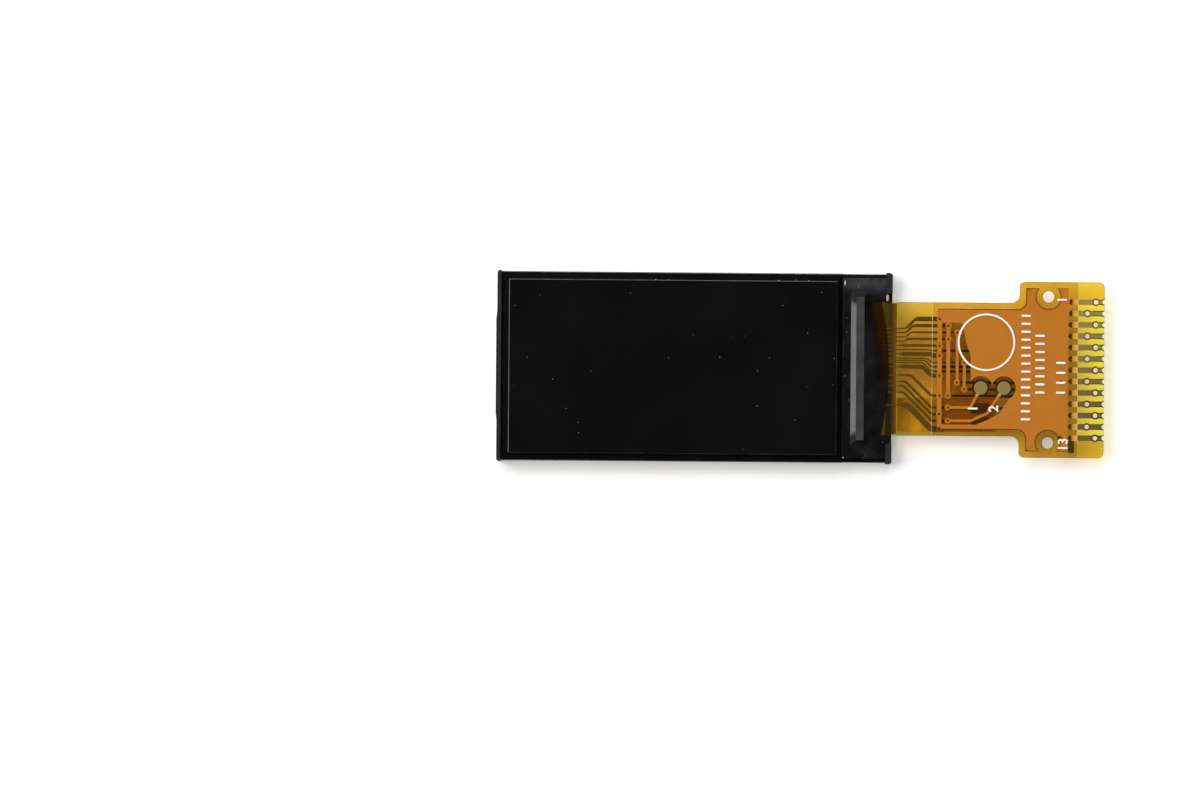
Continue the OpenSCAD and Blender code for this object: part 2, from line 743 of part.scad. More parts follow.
module array_glass() {
    color("#9fb3ad") plate(x_glass, x_glass_end, glass_w, z_array, array_t);
}

module cell_seal() {
    color("#3a3a3c") difference() {
        plate(x_glass + seal_inset, x_filter_end - seal_inset, glass_w - 2 * seal_inset, z_cell, cell_gap);
        plate(x_glass + cell_inner, x_filter_end - cell_inner, glass_w - 2 * cell_inner,
            z_cell - over, cell_gap + 2 * over);
    }
}

module liquid_crystal() {
    color("#1c1d20")
        plate(x_glass + cell_inner, x_filter_end - cell_inner, glass_w - 2 * cell_inner, z_cell, cell_gap);
}

module colour_filter_glass() {
    color("#8fa39d") plate(x_glass, x_filter_end, glass_w, z_filter, filter_t);
}

module front_polariser() {
    color("#0c0c0d") plate(x_glass + polariser_plain, x_filter_end - polariser_ledge,
        glass_w - 2 * polariser_side, z_front_polariser, front_polariser_t);
}

module chip_bond_film() {
    color("#6a6256") plate(x_chip, x_chip_end, chip_l, z_cell, chip_bond_t);
}

module driver_chip() {
    color("#4a4a4e") plate(x_chip, x_chip_end, chip_l, z_cell + chip_bond_t, chip_t);
}

// section of the thin coat on the ledge, along the module
module coat_section() {
    polygon([[x_filter_end, 0], [x_filter_end, sealant_h], [x_filter_end + fillet_w / 2, sealant_thin],
        [x_chip_end, sealant_thin], [(x_chip_end + x_flex) / 2, sealant_rise], [x_flex, sealant_rise],
        [x_glass_end, sealant_thin], [x_glass_end, 0]]);
}

// section of the bank of sealant against the chip, whose size along the section is given;
// its foot lies inside the coat
module bank_section(chip_size) {
    top = chip_bond_t + chip_t;
    foot = sealant_thin / 2;
    run = fillet_w * (top - foot) / (top - sealant_thin);
    polygon([[-chip_size / 2 - run, foot], [-chip_size / 2, top],
        [chip_size / 2, top], [chip_size / 2 + run, foot]]);
}

// the bank slopes down on all four sides of the chip
module chip_bank() {
    translate([(x_chip + x_chip_end) / 2, 0, z_cell]) intersection() {
        rotate([90, 0, 0]) linear_extrude(glass_w, center = true) bank_section(chip_w);
        rotate([90, 0, 90]) linear_extrude(ledge_l, center = true) bank_section(chip_l);
    }
}

// the sealant's tongue over the end of the circuit, with a bowed edge
module sealant_tongue() {
    half = neck_w / 2;
    r = (half * half + sealant_bow * sealant_bow) / (2 * sealant_bow);
    intersection() {
        translate([x_flex, -half]) square([sealant_lap, neck_w]);
        translate([x_flex + sealant_lap - r, 0]) circle(r, $fn = 180);
    }
}

module ledge_sealant() {
    length = glass_w - 2 * sealant_edge;
    color("#2a2b2d") {
        difference() {
            union() {
                translate([0, length / 2, z_cell]) rotate([90, 0, 0]) linear_extrude(length) coat_section();
                chip_bank();
            }
            plate(x_chip, x_chip_end, chip_l, z_cell - over, chip_t + chip_bond_t + 2 * over);
            plate(x_flex, x_glass_end + over, neck_w, z_cell - over, sealant_rise + 2 * over);
        }
        translate([0, 0, z_front_copper]) linear_extrude(sealant_lap_t) sealant_tongue();
    }
}

module flex_bond_film() {
    color("#8a7a4a") difference() {
        plate(x_flex, x_glass_end, neck_w, z_cell, flex_bond_t + copper_t);
        for (p = concat(barred_lines, through_lines))
            translate([x_flex - over, p[0] * finger_pitch - finger_w / 2, z_rear_copper])
                cube([bond_lap + 2 * over, finger_w, copper_t + over]);
    }
}

module flex_base_film() {
    color("#e0b63a") translate([0, 0, z_base]) linear_extrude(base_t) difference() {
        flex_plan(0, x_flex, x_flex_end);
        tool_holes();
        pad_holes();
        via_places() circle(d = via_d);
    }
}

module rear_copper() {
    color("#7a6338") translate([0, 0, z_rear_copper]) {
        for (p = barred_lines) {
            w = p[2] * signal_w;
            end = [bar(p[3]), row(p[1])];
            conductor(concat(glass_line(p[0], p[1], w), [[end[0], end[1], 0, w]]), end);
        }
        for (p = through_lines) conductor(through_line(p[0], p[1], p[2]), undef, p[2]);
        for (i = [1:3]) {
            start = [bar(i), row(bar_ends[i])];
            conductor(concat([[start[0], start[1], 0, run_w]], pad_line(start[1], bar_pads[i])),
                start, bar_pads[i]);
        }
        for (n = ground_pads) {
            start = [ground_via_x, pad_y(n)];
            conductor(concat([[start[0], start[1], 0, run_w]], pad_stations(n)), start, n);
        }
        for (i = [0, 1])
            conductor(concat(land_stations(i), pad_line(land_y(i), led_pads[i])), undef, led_pads[i]);
        for (n = plain_pads) conductor(pad_stations(n), undef, n);
    }
}

module front_copper() {
    color("#c8812c") translate([0, 0, z_front_copper]) linear_extrude(copper_t) front_plan();
}

module plated_vias() {
    color("#b8742a") translate([0, 0, z_base]) linear_extrude(base_t) via_places() difference() {
        circle(d = via_d);
        circle(d = via_bore_d);
    }
}

module front_coverlay() {
    color("#d0921f") difference() {
        translate([0, 0, z_front_copper]) linear_extrude(copper_t + coverlay_t) difference() {
            flex_plan(0, x_front_cover, x_cover_end);
            tool_holes();
            for (i = [0, 1]) translate(test_place(i)) circle(d = test_open_d);
        }
        translate([0, 0, z_front_copper - over]) linear_extrude(copper_t + over) front_plan();
    }
}

// the rear coverlay lies flat under the conductors
module rear_coverlay() {
    color("#caa030") translate([0, 0, z_rear_cover]) linear_extrude(coverlay_t) difference() {
        flex_plan(0, x_rear_cover, x_cover_end);
        tool_holes();
        land_plan();
    }
}

backlight_frame();
reflector_film();
light_guide();
diffuser_film();
lower_prism_film();
upper_prism_film();
rim_tape();
led_housings();
led_phosphors();
led_flex();
led_solder();
rear_polariser();
array_glass();
cell_seal();
liquid_crystal();
colour_filter_glass();
front_polariser();
chip_bond_film();
driver_chip();
ledge_sealant();
flex_bond_film();
flex_base_film();
rear_copper();
front_copper();
plated_vias();
front_coverlay();
rear_coverlay();
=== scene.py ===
import math
import random

import bmesh
import bpy
from mathutils import Matrix, Vector


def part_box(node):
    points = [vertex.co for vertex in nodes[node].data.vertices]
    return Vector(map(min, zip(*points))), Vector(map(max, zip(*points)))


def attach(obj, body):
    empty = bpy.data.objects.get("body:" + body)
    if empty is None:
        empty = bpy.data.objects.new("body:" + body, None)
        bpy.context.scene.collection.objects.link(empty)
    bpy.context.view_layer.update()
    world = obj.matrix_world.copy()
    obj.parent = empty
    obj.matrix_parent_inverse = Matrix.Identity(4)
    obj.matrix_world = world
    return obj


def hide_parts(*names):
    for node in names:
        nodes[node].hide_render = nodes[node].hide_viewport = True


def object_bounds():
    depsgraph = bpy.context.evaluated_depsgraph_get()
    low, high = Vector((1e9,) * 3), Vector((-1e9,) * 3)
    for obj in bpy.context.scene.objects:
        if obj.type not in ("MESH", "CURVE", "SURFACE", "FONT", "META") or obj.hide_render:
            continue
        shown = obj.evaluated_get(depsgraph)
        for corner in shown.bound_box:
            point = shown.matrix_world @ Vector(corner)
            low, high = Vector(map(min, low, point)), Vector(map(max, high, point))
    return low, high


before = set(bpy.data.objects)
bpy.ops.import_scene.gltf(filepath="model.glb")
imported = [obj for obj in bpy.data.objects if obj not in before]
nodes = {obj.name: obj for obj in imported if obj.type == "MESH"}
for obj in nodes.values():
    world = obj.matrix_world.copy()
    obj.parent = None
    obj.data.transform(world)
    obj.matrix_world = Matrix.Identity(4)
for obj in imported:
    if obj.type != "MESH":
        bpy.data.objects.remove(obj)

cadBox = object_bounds()
scene = bpy.context.scene
mm = 0.001
weld = 1e-7  # points nearer than this are one, in metres
facingUp = 0.9  # the least rise of the normal of a face that looks up


# sRGB hex to the linear values that the shaders work in
def toLinear(hexText):
    channels = [int(hexText[i:i + 2], 16) / 255 for i in (1, 3, 5)]
    return [c / 12.92 if c <= 0.04045 else ((c + 0.055) / 1.055) ** 2.4 for c in channels] + [1.0]


# one node with its properties, its own socket values and the links into it
def addNode(tree, kind, values=None, links=None, **properties):
    node = tree.nodes.new(kind)
    for name, value in properties.items():
        setattr(node, name, value)
    for socket, value in (values or {}).items():
        node.inputs[socket].default_value = value
    for socket, source in (links or {}).items():
        tree.links.new(source, node.inputs[socket])
    return node


# an empty material, its tree and its Object coordinates, which are metres in the part's own frame
def newMaterial(name):
    material = bpy.data.materials.new(name)
    material.use_nodes = True
    tree = material.node_tree
    tree.nodes.clear()
    return material, tree, addNode(tree, "ShaderNodeTexCoord").outputs["Object"]


def dress(material, *names):
    for name in names:
        nodes[name].data.materials.clear()
        nodes[name].data.materials.append(material)


# a bmesh becomes a piece of the object
def addPiece(name, bm, material, slotName, smooth=True):
    bmesh.ops.recalc_face_normals(bm, faces=bm.faces)
    mesh = bpy.data.meshes.new(name)
    bm.to_mesh(mesh)
    bm.free()
    mesh.materials.append(material)
    for face in mesh.polygons:
        face.use_smooth = smooth
    piece = bpy.data.objects.new(name, mesh)
    scene.collection.objects.link(piece)
    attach(piece, "root")
    return piece


# a copy of a CAD node's mesh with its loose triangles joined
def copyOf(name):
    bm = bmesh.new()
    bm.from_mesh(nodes[name].data)
    bmesh.ops.remove_doubles(bm, verts=bm.verts, dist=weld)
    bmesh.ops.recalc_face_normals(bm, faces=bm.faces)
    return bm


# a clear layer is shown as a copy that is thinner by a hair, so that none of its faces lies in a neighbour's
def showThinned(name, material, slotName, hair=0.0015 * mm):
    bm = copyOf(name)
    inward = [v.normal * -hair * min(v.calc_shell_factor(), 2) for v in bm.verts]
    for v, step in zip(bm.verts, inward):
        v.co += step
    piece = addPiece(name + ".clear", bm, material, slotName, smooth=False)
    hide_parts(name)
    return piece


# a block between spans in mm, with the edges that pick takes rounded
def addBlock(bm, spans, radius, pick=lambda a, b: True, segments=3):
    made = bmesh.ops.create_cube(bm, size=2)["verts"]
    fresh = set(made)
    edges = [e for e in bm.edges if e.verts[0] in fresh and pick(e.verts[0].co, e.verts[1].co)]
    bmesh.ops.scale(bm, verts=made, vec=[(high - low) / 2 * mm for low, high in spans])
    bmesh.ops.translate(bm, verts=made, vec=[(low + high) / 2 * mm for low, high in spans])
    bmesh.ops.bevel(bm, geom=edges, offset=radius * mm, affect="EDGES", segments=segments, profile=0.5,
                    material=-1)


# a flat ring with a square section, all in mm; base is the height of its underside
def addRing(bm, centre, inner, outer, base, thick, steps=96):
    section = bmesh.ops.create_grid(bm, x_segments=1, y_segments=1, size=0.5)["verts"]
    bmesh.ops.scale(bm, verts=section, vec=((outer - inner) * mm, thick * mm, 1))
    bmesh.ops.rotate(bm, verts=section, cent=(0, 0, 0), matrix=Matrix.Rotation(math.radians(90), 3, "X"))
    middle = ((inner + outer) / 2 * mm, 0, thick / 2 * mm)
    bmesh.ops.translate(bm, verts=section, vec=Vector(middle) + Vector((*centre, base)) * mm)
    edges = list({e.index: e for v in section for e in v.link_edges}.values())
    bmesh.ops.delete(bm, geom=section[0].link_faces[:], context="FACES_ONLY")
    bmesh.ops.spin(bm, geom=section + edges, cent=Vector((*centre, 0)) * mm, axis=(0, 0, 1), angle=math.tau,
                   steps=steps, use_merge=True)


# a dab of paste: a flattened ball, cut flat below and pushed about a little; sizes in mm
dabStyle = {"push": 0.09, "waves": 9, "leans": 4, "cut": -0.02}


def addDab(bm, x, y, z, sizeX, sizeY, high, seed):
    lucky = random.Random(seed)
    made = bmesh.ops.create_icosphere(bm, subdivisions=3, radius=0.5)["verts"]
    lean = [Vector((lucky.uniform(-1, 1), lucky.uniform(-1, 1), 0)) for _ in range(dabStyle["leans"])]
    for v in made:
        push = sum(dabStyle["push"] * math.sin(dabStyle["waves"] * v.co.dot(way) + i)
                   for i, way in enumerate(lean))
        v.co.x *= 1 + push
        v.co.y *= 1 - push
        v.co.z = max(v.co.z, dabStyle["cut"])
    bmesh.ops.scale(bm, verts=made, vec=(sizeX * mm, sizeY * mm, 2 * high * mm))
    bmesh.ops.translate(bm, verts=made, vec=(x * mm, y * mm, z * mm))


# camera, floor and light
view = {
    "centre": (-6.615 * mm, -2.38 * mm), "focus": 1.3 * mm, "height": 420 * mm,
    "frameWidth": 84.62 * mm, "roll": math.radians(0.47), "sensor": 36, "clipStart": 0.01,
}
cameraData = bpy.data.cameras.new("camera")
cameraData.sensor_width = view["sensor"]
cameraData.lens = view["sensor"] * (view["height"] - view["focus"]) / view["frameWidth"]
cameraData.clip_start = view["clipStart"]
camera = bpy.data.objects.new("camera", cameraData)
camera.location = (*view["centre"], view["height"])
camera.rotation_euler = (0, 0, view["roll"])
scene.collection.objects.link(camera)
scene.camera = camera
print("camera set")

floorStyle = {
    "size": 2.4, "drop": 0.01 * mm, "paper": "#f9f9fa", "shade": "#f4f4f5", "grainMm": 40,
    "lift": 0.3, "liftUnderFilm": 0.26,
}
bm = bmesh.new()
bmesh.ops.create_grid(bm, x_segments=1, y_segments=1, size=floorStyle["size"] / 2)
bmesh.ops.translate(bm, verts=bm.verts, vec=(0, 0, cadBox[0][2] - floorStyle["drop"]))
floorMesh = bpy.data.meshes.new("floor")
bm.to_mesh(floorMesh)
bm.free()
floor = bpy.data.objects.new("floor", floorMesh)
scene.collection.objects.link(floor)

material, tree, place = newMaterial("whitePaper")  # matt paper that takes the shadow and reads as white
grain = addNode(tree, "ShaderNodeTexNoise", {"Scale": 1 / (floorStyle["grainMm"] * mm)}, {"Vector": place})
tone = addNode(tree, "ShaderNodeMix",
               {"A": toLinear(floorStyle["shade"]), "B": toLinear(floorStyle["paper"])},
               {"Factor": grain.outputs["Fac"]}, data_type="RGBA")
paper = addNode(tree, "ShaderNodeBsdfDiffuse", {}, {"Color": tone.outputs[2]})
path = addNode(tree, "ShaderNodeLightPath")
seen = addNode(tree, "ShaderNodeMath", {},
               {0: path.outputs["Is Camera Ray"], 1: path.outputs["Is Glossy Ray"]}, operation="MAXIMUM")
seen = addNode(tree, "ShaderNodeMath", {},
               {0: seen.outputs[0], 1: path.outputs["Is Transmission Ray"]}, operation="MAXIMUM")
level = addNode(tree, "ShaderNodeMapRange",
                {"To Min": floorStyle["lift"], "To Max": floorStyle["liftUnderFilm"]},
                {"Value": path.outputs["Transparent Depth"]})
lift = addNode(tree, "ShaderNodeMath", {}, {0: seen.outputs[0], 1: level.outputs[0]}, operation="MULTIPLY")
glow = addNode(tree, "ShaderNodeEmission", {"Color": (1, 1, 1, 1)}, {"Strength": lift.outputs[0]})
both = addNode(tree, "ShaderNodeAddShader", {}, {0: paper.outputs[0], 1: glow.outputs[0]})
addNode(tree, "ShaderNodeOutputMaterial", {}, {"Surface": both.outputs[0]})
floor.data.materials.append(material)

# softboxes low at the left and above it, as the bright slope beside the chip and the shadows show
lamps = {
    "leftBox": {"from": (-0.96, 0.29, 0.77), "size": 1.1, "watts": 17.5, "tint": "#fffaf2"},
    "upperBox": {"from": (-0.14, 1.10, 0.82), "size": 1.3, "watts": 14, "tint": "#fdfdff"},
}
for name, style in lamps.items():
    lampData = bpy.data.lights.new(name, "AREA")
    lampData.shape = "SQUARE"
    lampData.size = style["size"]
    lampData.energy = style["watts"]
    lampData.color = toLinear(style["tint"])[:3]
    lamp = bpy.data.objects.new(name, lampData)
    lamp.location = style["from"]
    lamp.rotation_euler = (-Vector(style["from"])).to_track_quat("-Z", "Y").to_euler()
    scene.collection.objects.link(lamp)

# a room that is pale at the horizon and dark overhead, so the flat glass mirrors the dark
room = {"horizon": "#eef3fb", "overhead": "#06070a", "strength": 1.0, "fade": (0.25, 0.62)}
world = bpy.data.worlds.new("studio")
scene.world = world
world.use_nodes = True
tree = world.node_tree
tree.nodes.clear()
ray = addNode(tree, "ShaderNodeTexCoord")
height = addNode(tree, "ShaderNodeSeparateXYZ", {}, {"Vector": ray.outputs["Generated"]})
fade = addNode(tree, "ShaderNodeMapRange", {"From Min": room["fade"][0], "From Max": room["fade"][1]},
               {"Value": height.outputs["Z"]}, interpolation_type="SMOOTHSTEP")
sky = addNode(tree, "ShaderNodeMix", {"A": toLinear(room["horizon"]), "B": toLinear(room["overhead"])},
              {"Factor": fade.outputs["Result"]}, data_type="RGBA")
air = addNode(tree, "ShaderNodeBackground", {"Strength": room["strength"]}, {"Color": sky.outputs[2]})
addNode(tree, "ShaderNodeOutputWorld", {}, {"Surface": air.outputs[0]})
scene.view_settings.view_transform = "Standard"
scene.cycles.transparent_max_bounces = 48  # the films lie six deep, and light crosses them twice
print("floor and light set")


# a solid surface with cloudy colour, cloudy roughness and a fine grit in its relief
grittyStyle = {"cloudMm": 2.0, "contrast": (0.12, 0.42), "relief": 0.5, "ior": 1.5}


def gritty(name, colours, roughness, gritMm, gritDepth, metallic=0.0, stretch=(1, 1, 1)):
    material, tree, place = newMaterial(name)
    cloud = addNode(tree, "ShaderNodeTexNoise", {"Scale": 1 / (grittyStyle["cloudMm"] * mm), "Detail": 3},
                    {"Vector": place})
    turned = addNode(tree, "ShaderNodeMapping", {"Scale": stretch}, {"Vector": place})
    grit = addNode(tree, "ShaderNodeTexNoise", {"Scale": 1 / (gritMm * mm), "Detail": 3},
                   {"Vector": turned.outputs[0]})
    mixed = addNode(tree, "ShaderNodeMath", {}, {0: cloud.outputs["Fac"], 1: grit.outputs["Fac"]},
                    operation="MULTIPLY")
    faint, strong = grittyStyle["contrast"]
    spread = addNode(tree, "ShaderNodeMapRange", {"From Min": faint, "From Max": strong},
                     {"Value": mixed.outputs[0]})
    tone = addNode(tree, "ShaderNodeMix", {"A": toLinear(colours[0]), "B": toLinear(colours[1])},
                   {"Factor": spread.outputs[0]}, data_type="RGBA")
    rough = addNode(tree, "ShaderNodeMapRange", {"To Min": roughness[0], "To Max": roughness[1]},
                    {"Value": cloud.outputs["Fac"]})
    relief = addNode(tree, "ShaderNodeBump", {"Strength": grittyStyle["relief"], "Distance": gritDepth * mm},
                     {"Height": grit.outputs["Fac"]})
    solid = addNode(tree, "ShaderNodeBsdfPrincipled", {"Metallic": metallic, "IOR": grittyStyle["ior"]},
                    {"Base Color": tone.outputs[2], "Roughness": rough.outputs[0],
                     "Normal": relief.outputs[0]})
    addNode(tree, "ShaderNodeOutputMaterial", {}, {"Surface": solid.outputs[0]})
    return material


# a patch with soft sides: for each side its axis, where the patch begins and where it is full, in mm
def softPatch(tree, place, sides):
    where = addNode(tree, "ShaderNodeSeparateXYZ", {}, {"Vector": place})
    patch = None
    for axis, begin, full in sides:
        side = addNode(tree, "ShaderNodeMapRange", {"From Min": begin * mm, "From Max": full * mm},
                       {"Value": where.outputs[axis]})
        if patch:
            side = addNode(tree, "ShaderNodeMath", {}, {0: patch.outputs[0], 1: side.outputs[0]},
                           operation="MULTIPLY")
        patch = side
    return patch


# a clear layer: a stain that deepens with each face the light crosses, and gloss that grows at a slant
clearStyle = {"patchy": 0.6, "relief": 0.25, "blend": 0.5, "climb": 5}


def clearLayer(name, tint, deep, cloudMm, skin, skinIor, sheen, roughness, rippleMm, ripple, tintedPatch=None):
    material, tree, place = newMaterial(name)
    cloud = addNode(tree, "ShaderNodeTexNoise",
                    {"Scale": 1 / (cloudMm * mm), "Detail": 4, "Roughness": clearStyle["patchy"]},
                    {"Vector": place})
    stain = addNode(tree, "ShaderNodeMix", {"A": toLinear(tint), "B": toLinear(deep)},
                    {"Factor": cloud.outputs["Fac"]}, data_type="RGBA")
    if tintedPatch:  # a stretch of the layer with a deeper tint
        patch = softPatch(tree, place, tintedPatch["sides"])
        depth = addNode(tree, "ShaderNodeMath", {}, {0: cloud.outputs["Fac"], 1: patch.outputs[0]},
                        operation="MULTIPLY")
        stain = addNode(tree, "ShaderNodeMix", {"B": toLinear(tintedPatch["stain"])},
                        {"Factor": depth.outputs[0], "A": stain.outputs[2]}, data_type="RGBA",
                        blend_type="MULTIPLY")
    clear = addNode(tree, "ShaderNodeBsdfTransparent", {}, {"Color": stain.outputs[2]})
    wave = addNode(tree, "ShaderNodeTexNoise", {"Scale": 1 / (rippleMm * mm), "Detail": 3}, {"Vector": place})
    relief = addNode(tree, "ShaderNodeBump", {"Strength": clearStyle["relief"], "Distance": ripple * mm},
                     {"Height": wave.outputs["Fac"]})
    shine = addNode(tree, "ShaderNodeMapRange", {"To Min": roughness[0], "To Max": roughness[1]},
                    {"Value": wave.outputs["Fac"]})
    gloss = addNode(tree, "ShaderNodeBsdfPrincipled", {"IOR": skinIor, "Base Color": toLinear(skin)},
                    {"Normal": relief.outputs[0], "Roughness": shine.outputs[0]})
    # the slant is the same on both sides of a face
    slant = addNode(tree, "ShaderNodeLayerWeight", {"Blend": clearStyle["blend"]})
    graze = addNode(tree, "ShaderNodeMath", {1: clearStyle["climb"]}, {0: slant.outputs["Facing"]},
                    operation="POWER")
    share = addNode(tree, "ShaderNodeMath", {1: sheen[1], 2: sheen[0]}, {0: graze.outputs[0]},
                    operation="MULTIPLY_ADD")
    both = addNode(tree, "ShaderNodeMixShader", {},
                   {0: share.outputs[0], 1: clear.outputs[0], 2: gloss.outputs[0]})
    addNode(tree, "ShaderNodeOutputMaterial", {}, {"Surface": both.outputs[0]})
    return material


# materials of the flexible circuit
# polyimide, cast as a film: yellow from the base, amber from the adhesive of the coverlays, softly glossy
polyimide = {"skin": "#a8a49a", "skinIor": 1.7, "roughness": (0.14, 0.26), "rippleMm": 1.6, "ripple": 0.02}
filmStyles = {
    "flex_base_film": {"tint": "#fffca8", "deep": "#fff99a", "sheen": (0.016, 0.8), "cloudMm": 3.0},
    "front_coverlay": {"tint": "#f9f3e6", "deep": "#f6efdc", "sheen": (0.006, 0.8), "cloudMm": 1.2},
    "rear_coverlay": {
        "tint": "#f0e2d1", "deep": "#e8d4bc", "sheen": (0.008, 0.8), "cloudMm": 1.6,
        "tintedPatch": {  # a middle stretch of the fan, between its conductors, tinted deeper: axis, where it begins and is full
            "stain": "#f2dcf6",
            "sides": (("X", 14.31, 14.33), ("X", 16.8, 16.78), ("Y", 3.9, 2.0), ("Y", -2.2, -1.4)),
        },
    },
}
films = {}
for name, style in filmStyles.items():
    films[name] = showThinned(name, clearLayer("polyimide." + name, **style, **polyimide),
                              name.replace("flex_", ""))

# the base film is painted a little darker along its punched edge, as painted shade of the edge
edgeShadeRim = {
    "wide": 0.05, "style": {"tint": "#dbdc94", "deep": "#d2d08a", "sheen": (0.016, 0.8), "cloudMm": 3.0},
}
baseMesh = films["flex_base_film"].data
baseMesh.materials.append(clearLayer("polyimide.shadedEdge", **edgeShadeRim["style"], **polyimide))
bm = bmesh.new()
bm.from_mesh(baseMesh)
tops = [f for f in bm.faces if f.normal.z > facingUp]
rim = bmesh.ops.inset_region(bm, faces=tops, thickness=edgeShadeRim["wide"] * mm, use_boundary=True)["faces"]
for face in rim:
    face.material_index = 1
bm.to_mesh(baseMesh)
bm.free()

# between the cross bars the front coverlay is tinted darker, as painted shade of the copper around this
# window; spans in mm
area = {"x": (17.2, 22.7), "y": 4.2, "below": 1.13}
windowShadeStyle = {
    "tint": "#ead8b0", "deep": "#e2cca0", "sheen": (0.006, 0.8), "cloudMm": 0.5,
    "tintedPatch": {"stain": "#ad865e", "sides": (("Y", -2.15, -1.85),)},  # lighter over the diode flex: painted light against the shade it casts below
}
coverMesh = films["front_coverlay"].data
coverMesh.materials.append(clearLayer("windowPaintedShade", **windowShadeStyle, **polyimide))
for face in coverMesh.polygons:
    x, y, z = face.center / mm
    if area["x"][0] < x < area["x"][1] and abs(y) < area["y"] and z < area["below"]:
        face.material_index = 1

# rolled copper under the coverlay: a matt orange with a fine roll grain; where it is open it is gold plated
copperStyle = {
    "bright": "#e8a34a", "dull": "#d58f38", "grainMm": 0.12, "blotchMm": 2.5,
    "plate": "#957a44", "testPads": ((20.235, -1.31), (21.865, -1.31)), "padRadius": 0.49, "padHeight": 1.132,
    "padDull": "#6e582a", "padBright": "#a28a3e", "padRow": (-3.0, 4.8), "openFrom": 27.056,
    "lighterEnd": "#ffe39a", "lighterFrom": 26.62, "lighterTo": 26.95,
    "grainDepth": 0.004, "relief": 0.3, "rolled": (1, 0.25, 1), "roughness": (0.5, 0.7), "metallic": 0.3,
}
material, tree, place = newMaterial("rolledCopper")
rolled = addNode(tree, "ShaderNodeMapping", {"Scale": copperStyle["rolled"]}, {"Vector": place})
grain = addNode(tree, "ShaderNodeTexNoise", {"Scale": 1 / (copperStyle["grainMm"] * mm), "Detail": 5},
                {"Vector": rolled.outputs[0]})
blotch = addNode(tree, "ShaderNodeTexNoise", {"Scale": 1 / (copperStyle["blotchMm"] * mm), "Detail": 2},
                 {"Vector": place})
tarnish = addNode(tree, "ShaderNodeMath", {}, {0: grain.outputs["Fac"], 1: blotch.outputs["Fac"]},
                  operation="MULTIPLY")
metal = addNode(tree, "ShaderNodeMix",
                {"A": toLinear(copperStyle["bright"]), "B": toLinear(copperStyle["dull"])},
                {"Factor": tarnish.outputs[0]}, data_type="RGBA")
for x, y in copperStyle["testPads"]:
    middle = (x * mm, y * mm, copperStyle["padHeight"] * mm)
    reach = addNode(tree, "ShaderNodeVectorMath", {1: middle}, {0: place}, operation="DISTANCE")
    disc = addNode(tree, "ShaderNodeMath", {1: copperStyle["padRadius"] * mm}, {0: reach.outputs["Value"]},
                   operation="LESS_THAN")
    metal = addNode(tree, "ShaderNodeMix", {"B": toLinear(copperStyle["plate"])},
                    {"Factor": disc.outputs[0], "A": metal.outputs[2]}, data_type="RGBA")
along = addNode(tree, "ShaderNodeSeparateXYZ", {}, {"Vector": place})
lighterEnd = addNode(tree, "ShaderNodeMapRange",  # the copper is lighter for a short way before the coverlay ends
                {"From Min": copperStyle["lighterFrom"] * mm, "From Max": copperStyle["lighterTo"] * mm},
                {"Value": along.outputs["X"]}, interpolation_type="SMOOTHSTEP")
metal = addNode(tree, "ShaderNodeMix", {"B": toLinear(copperStyle["lighterEnd"])},
                {"Factor": lighterEnd.outputs["Result"], "A": metal.outputs[2]}, data_type="RGBA")
exposed = addNode(tree, "ShaderNodeMath", {1: copperStyle["openFrom"] * mm}, {0: along.outputs["X"]},
                  operation="GREATER_THAN")
padLow, padHigh = copperStyle["padRow"]
worn = addNode(tree, "ShaderNodeMapRange", {"From Min": padLow * mm, "From Max": padHigh * mm},
               {"Value": along.outputs["Y"]})
plate = addNode(tree, "ShaderNodeMix",  # the plating of the pads is duller towards the last one
                {"A": toLinear(copperStyle["padDull"]), "B": toLinear(copperStyle["padBright"])},
                {"Factor": worn.outputs[0]}, data_type="RGBA")
metal = addNode(tree, "ShaderNodeMix", {},
                {"Factor": exposed.outputs[0], "A": metal.outputs[2], "B": plate.outputs[2]},
                data_type="RGBA")
relief = addNode(tree, "ShaderNodeBump",
                 {"Strength": copperStyle["relief"], "Distance": copperStyle["grainDepth"] * mm},
                 {"Height": grain.outputs["Fac"]})
smooth, coarse = copperStyle["roughness"]
rough = addNode(tree, "ShaderNodeMapRange", {"To Min": smooth, "To Max": coarse},
                {"Value": blotch.outputs["Fac"]})
copper = addNode(tree, "ShaderNodeBsdfPrincipled", {"Metallic": copperStyle["metallic"]},
                 {"Base Color": metal.outputs[2], "Roughness": rough.outputs[0],
                  "Normal": relief.outputs[0]})
addNode(tree, "ShaderNodeOutputMaterial", {}, {"Surface": copper.outputs[0]})
dress(material, "plated_vias")

# the front copper is shown as a copy whose outer rim takes a darker tone: painted shade along the copper's
# edge under the coverlay
edgeShadeStyle = {"wide": 0.08, "beyond": 4.0, "before": 26.3, "tones": ("#835620", "#9a6b2e")}
bm = copyOf("front_copper")
tops = [f for f in bm.faces if f.normal.z > facingUp]
rim = bmesh.ops.inset_region(bm, faces=tops, thickness=edgeShadeStyle["wide"] * mm, use_boundary=True)["faces"]
for face in rim:
    x, y, _ = face.calc_center_median() / mm
    if abs(y) > edgeShadeStyle["beyond"] and x < edgeShadeStyle["before"]:
        face.material_index = 1
piece = addPiece("front_copper.shadedRim", bm, material, "front_copper", smooth=False)
piece.data.materials.append(gritty("copperEdgeShade", edgeShadeStyle["tones"], (0.5, 0.65), 0.12, 0.003,
                                   metallic=copperStyle["metallic"]))
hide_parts("front_copper")

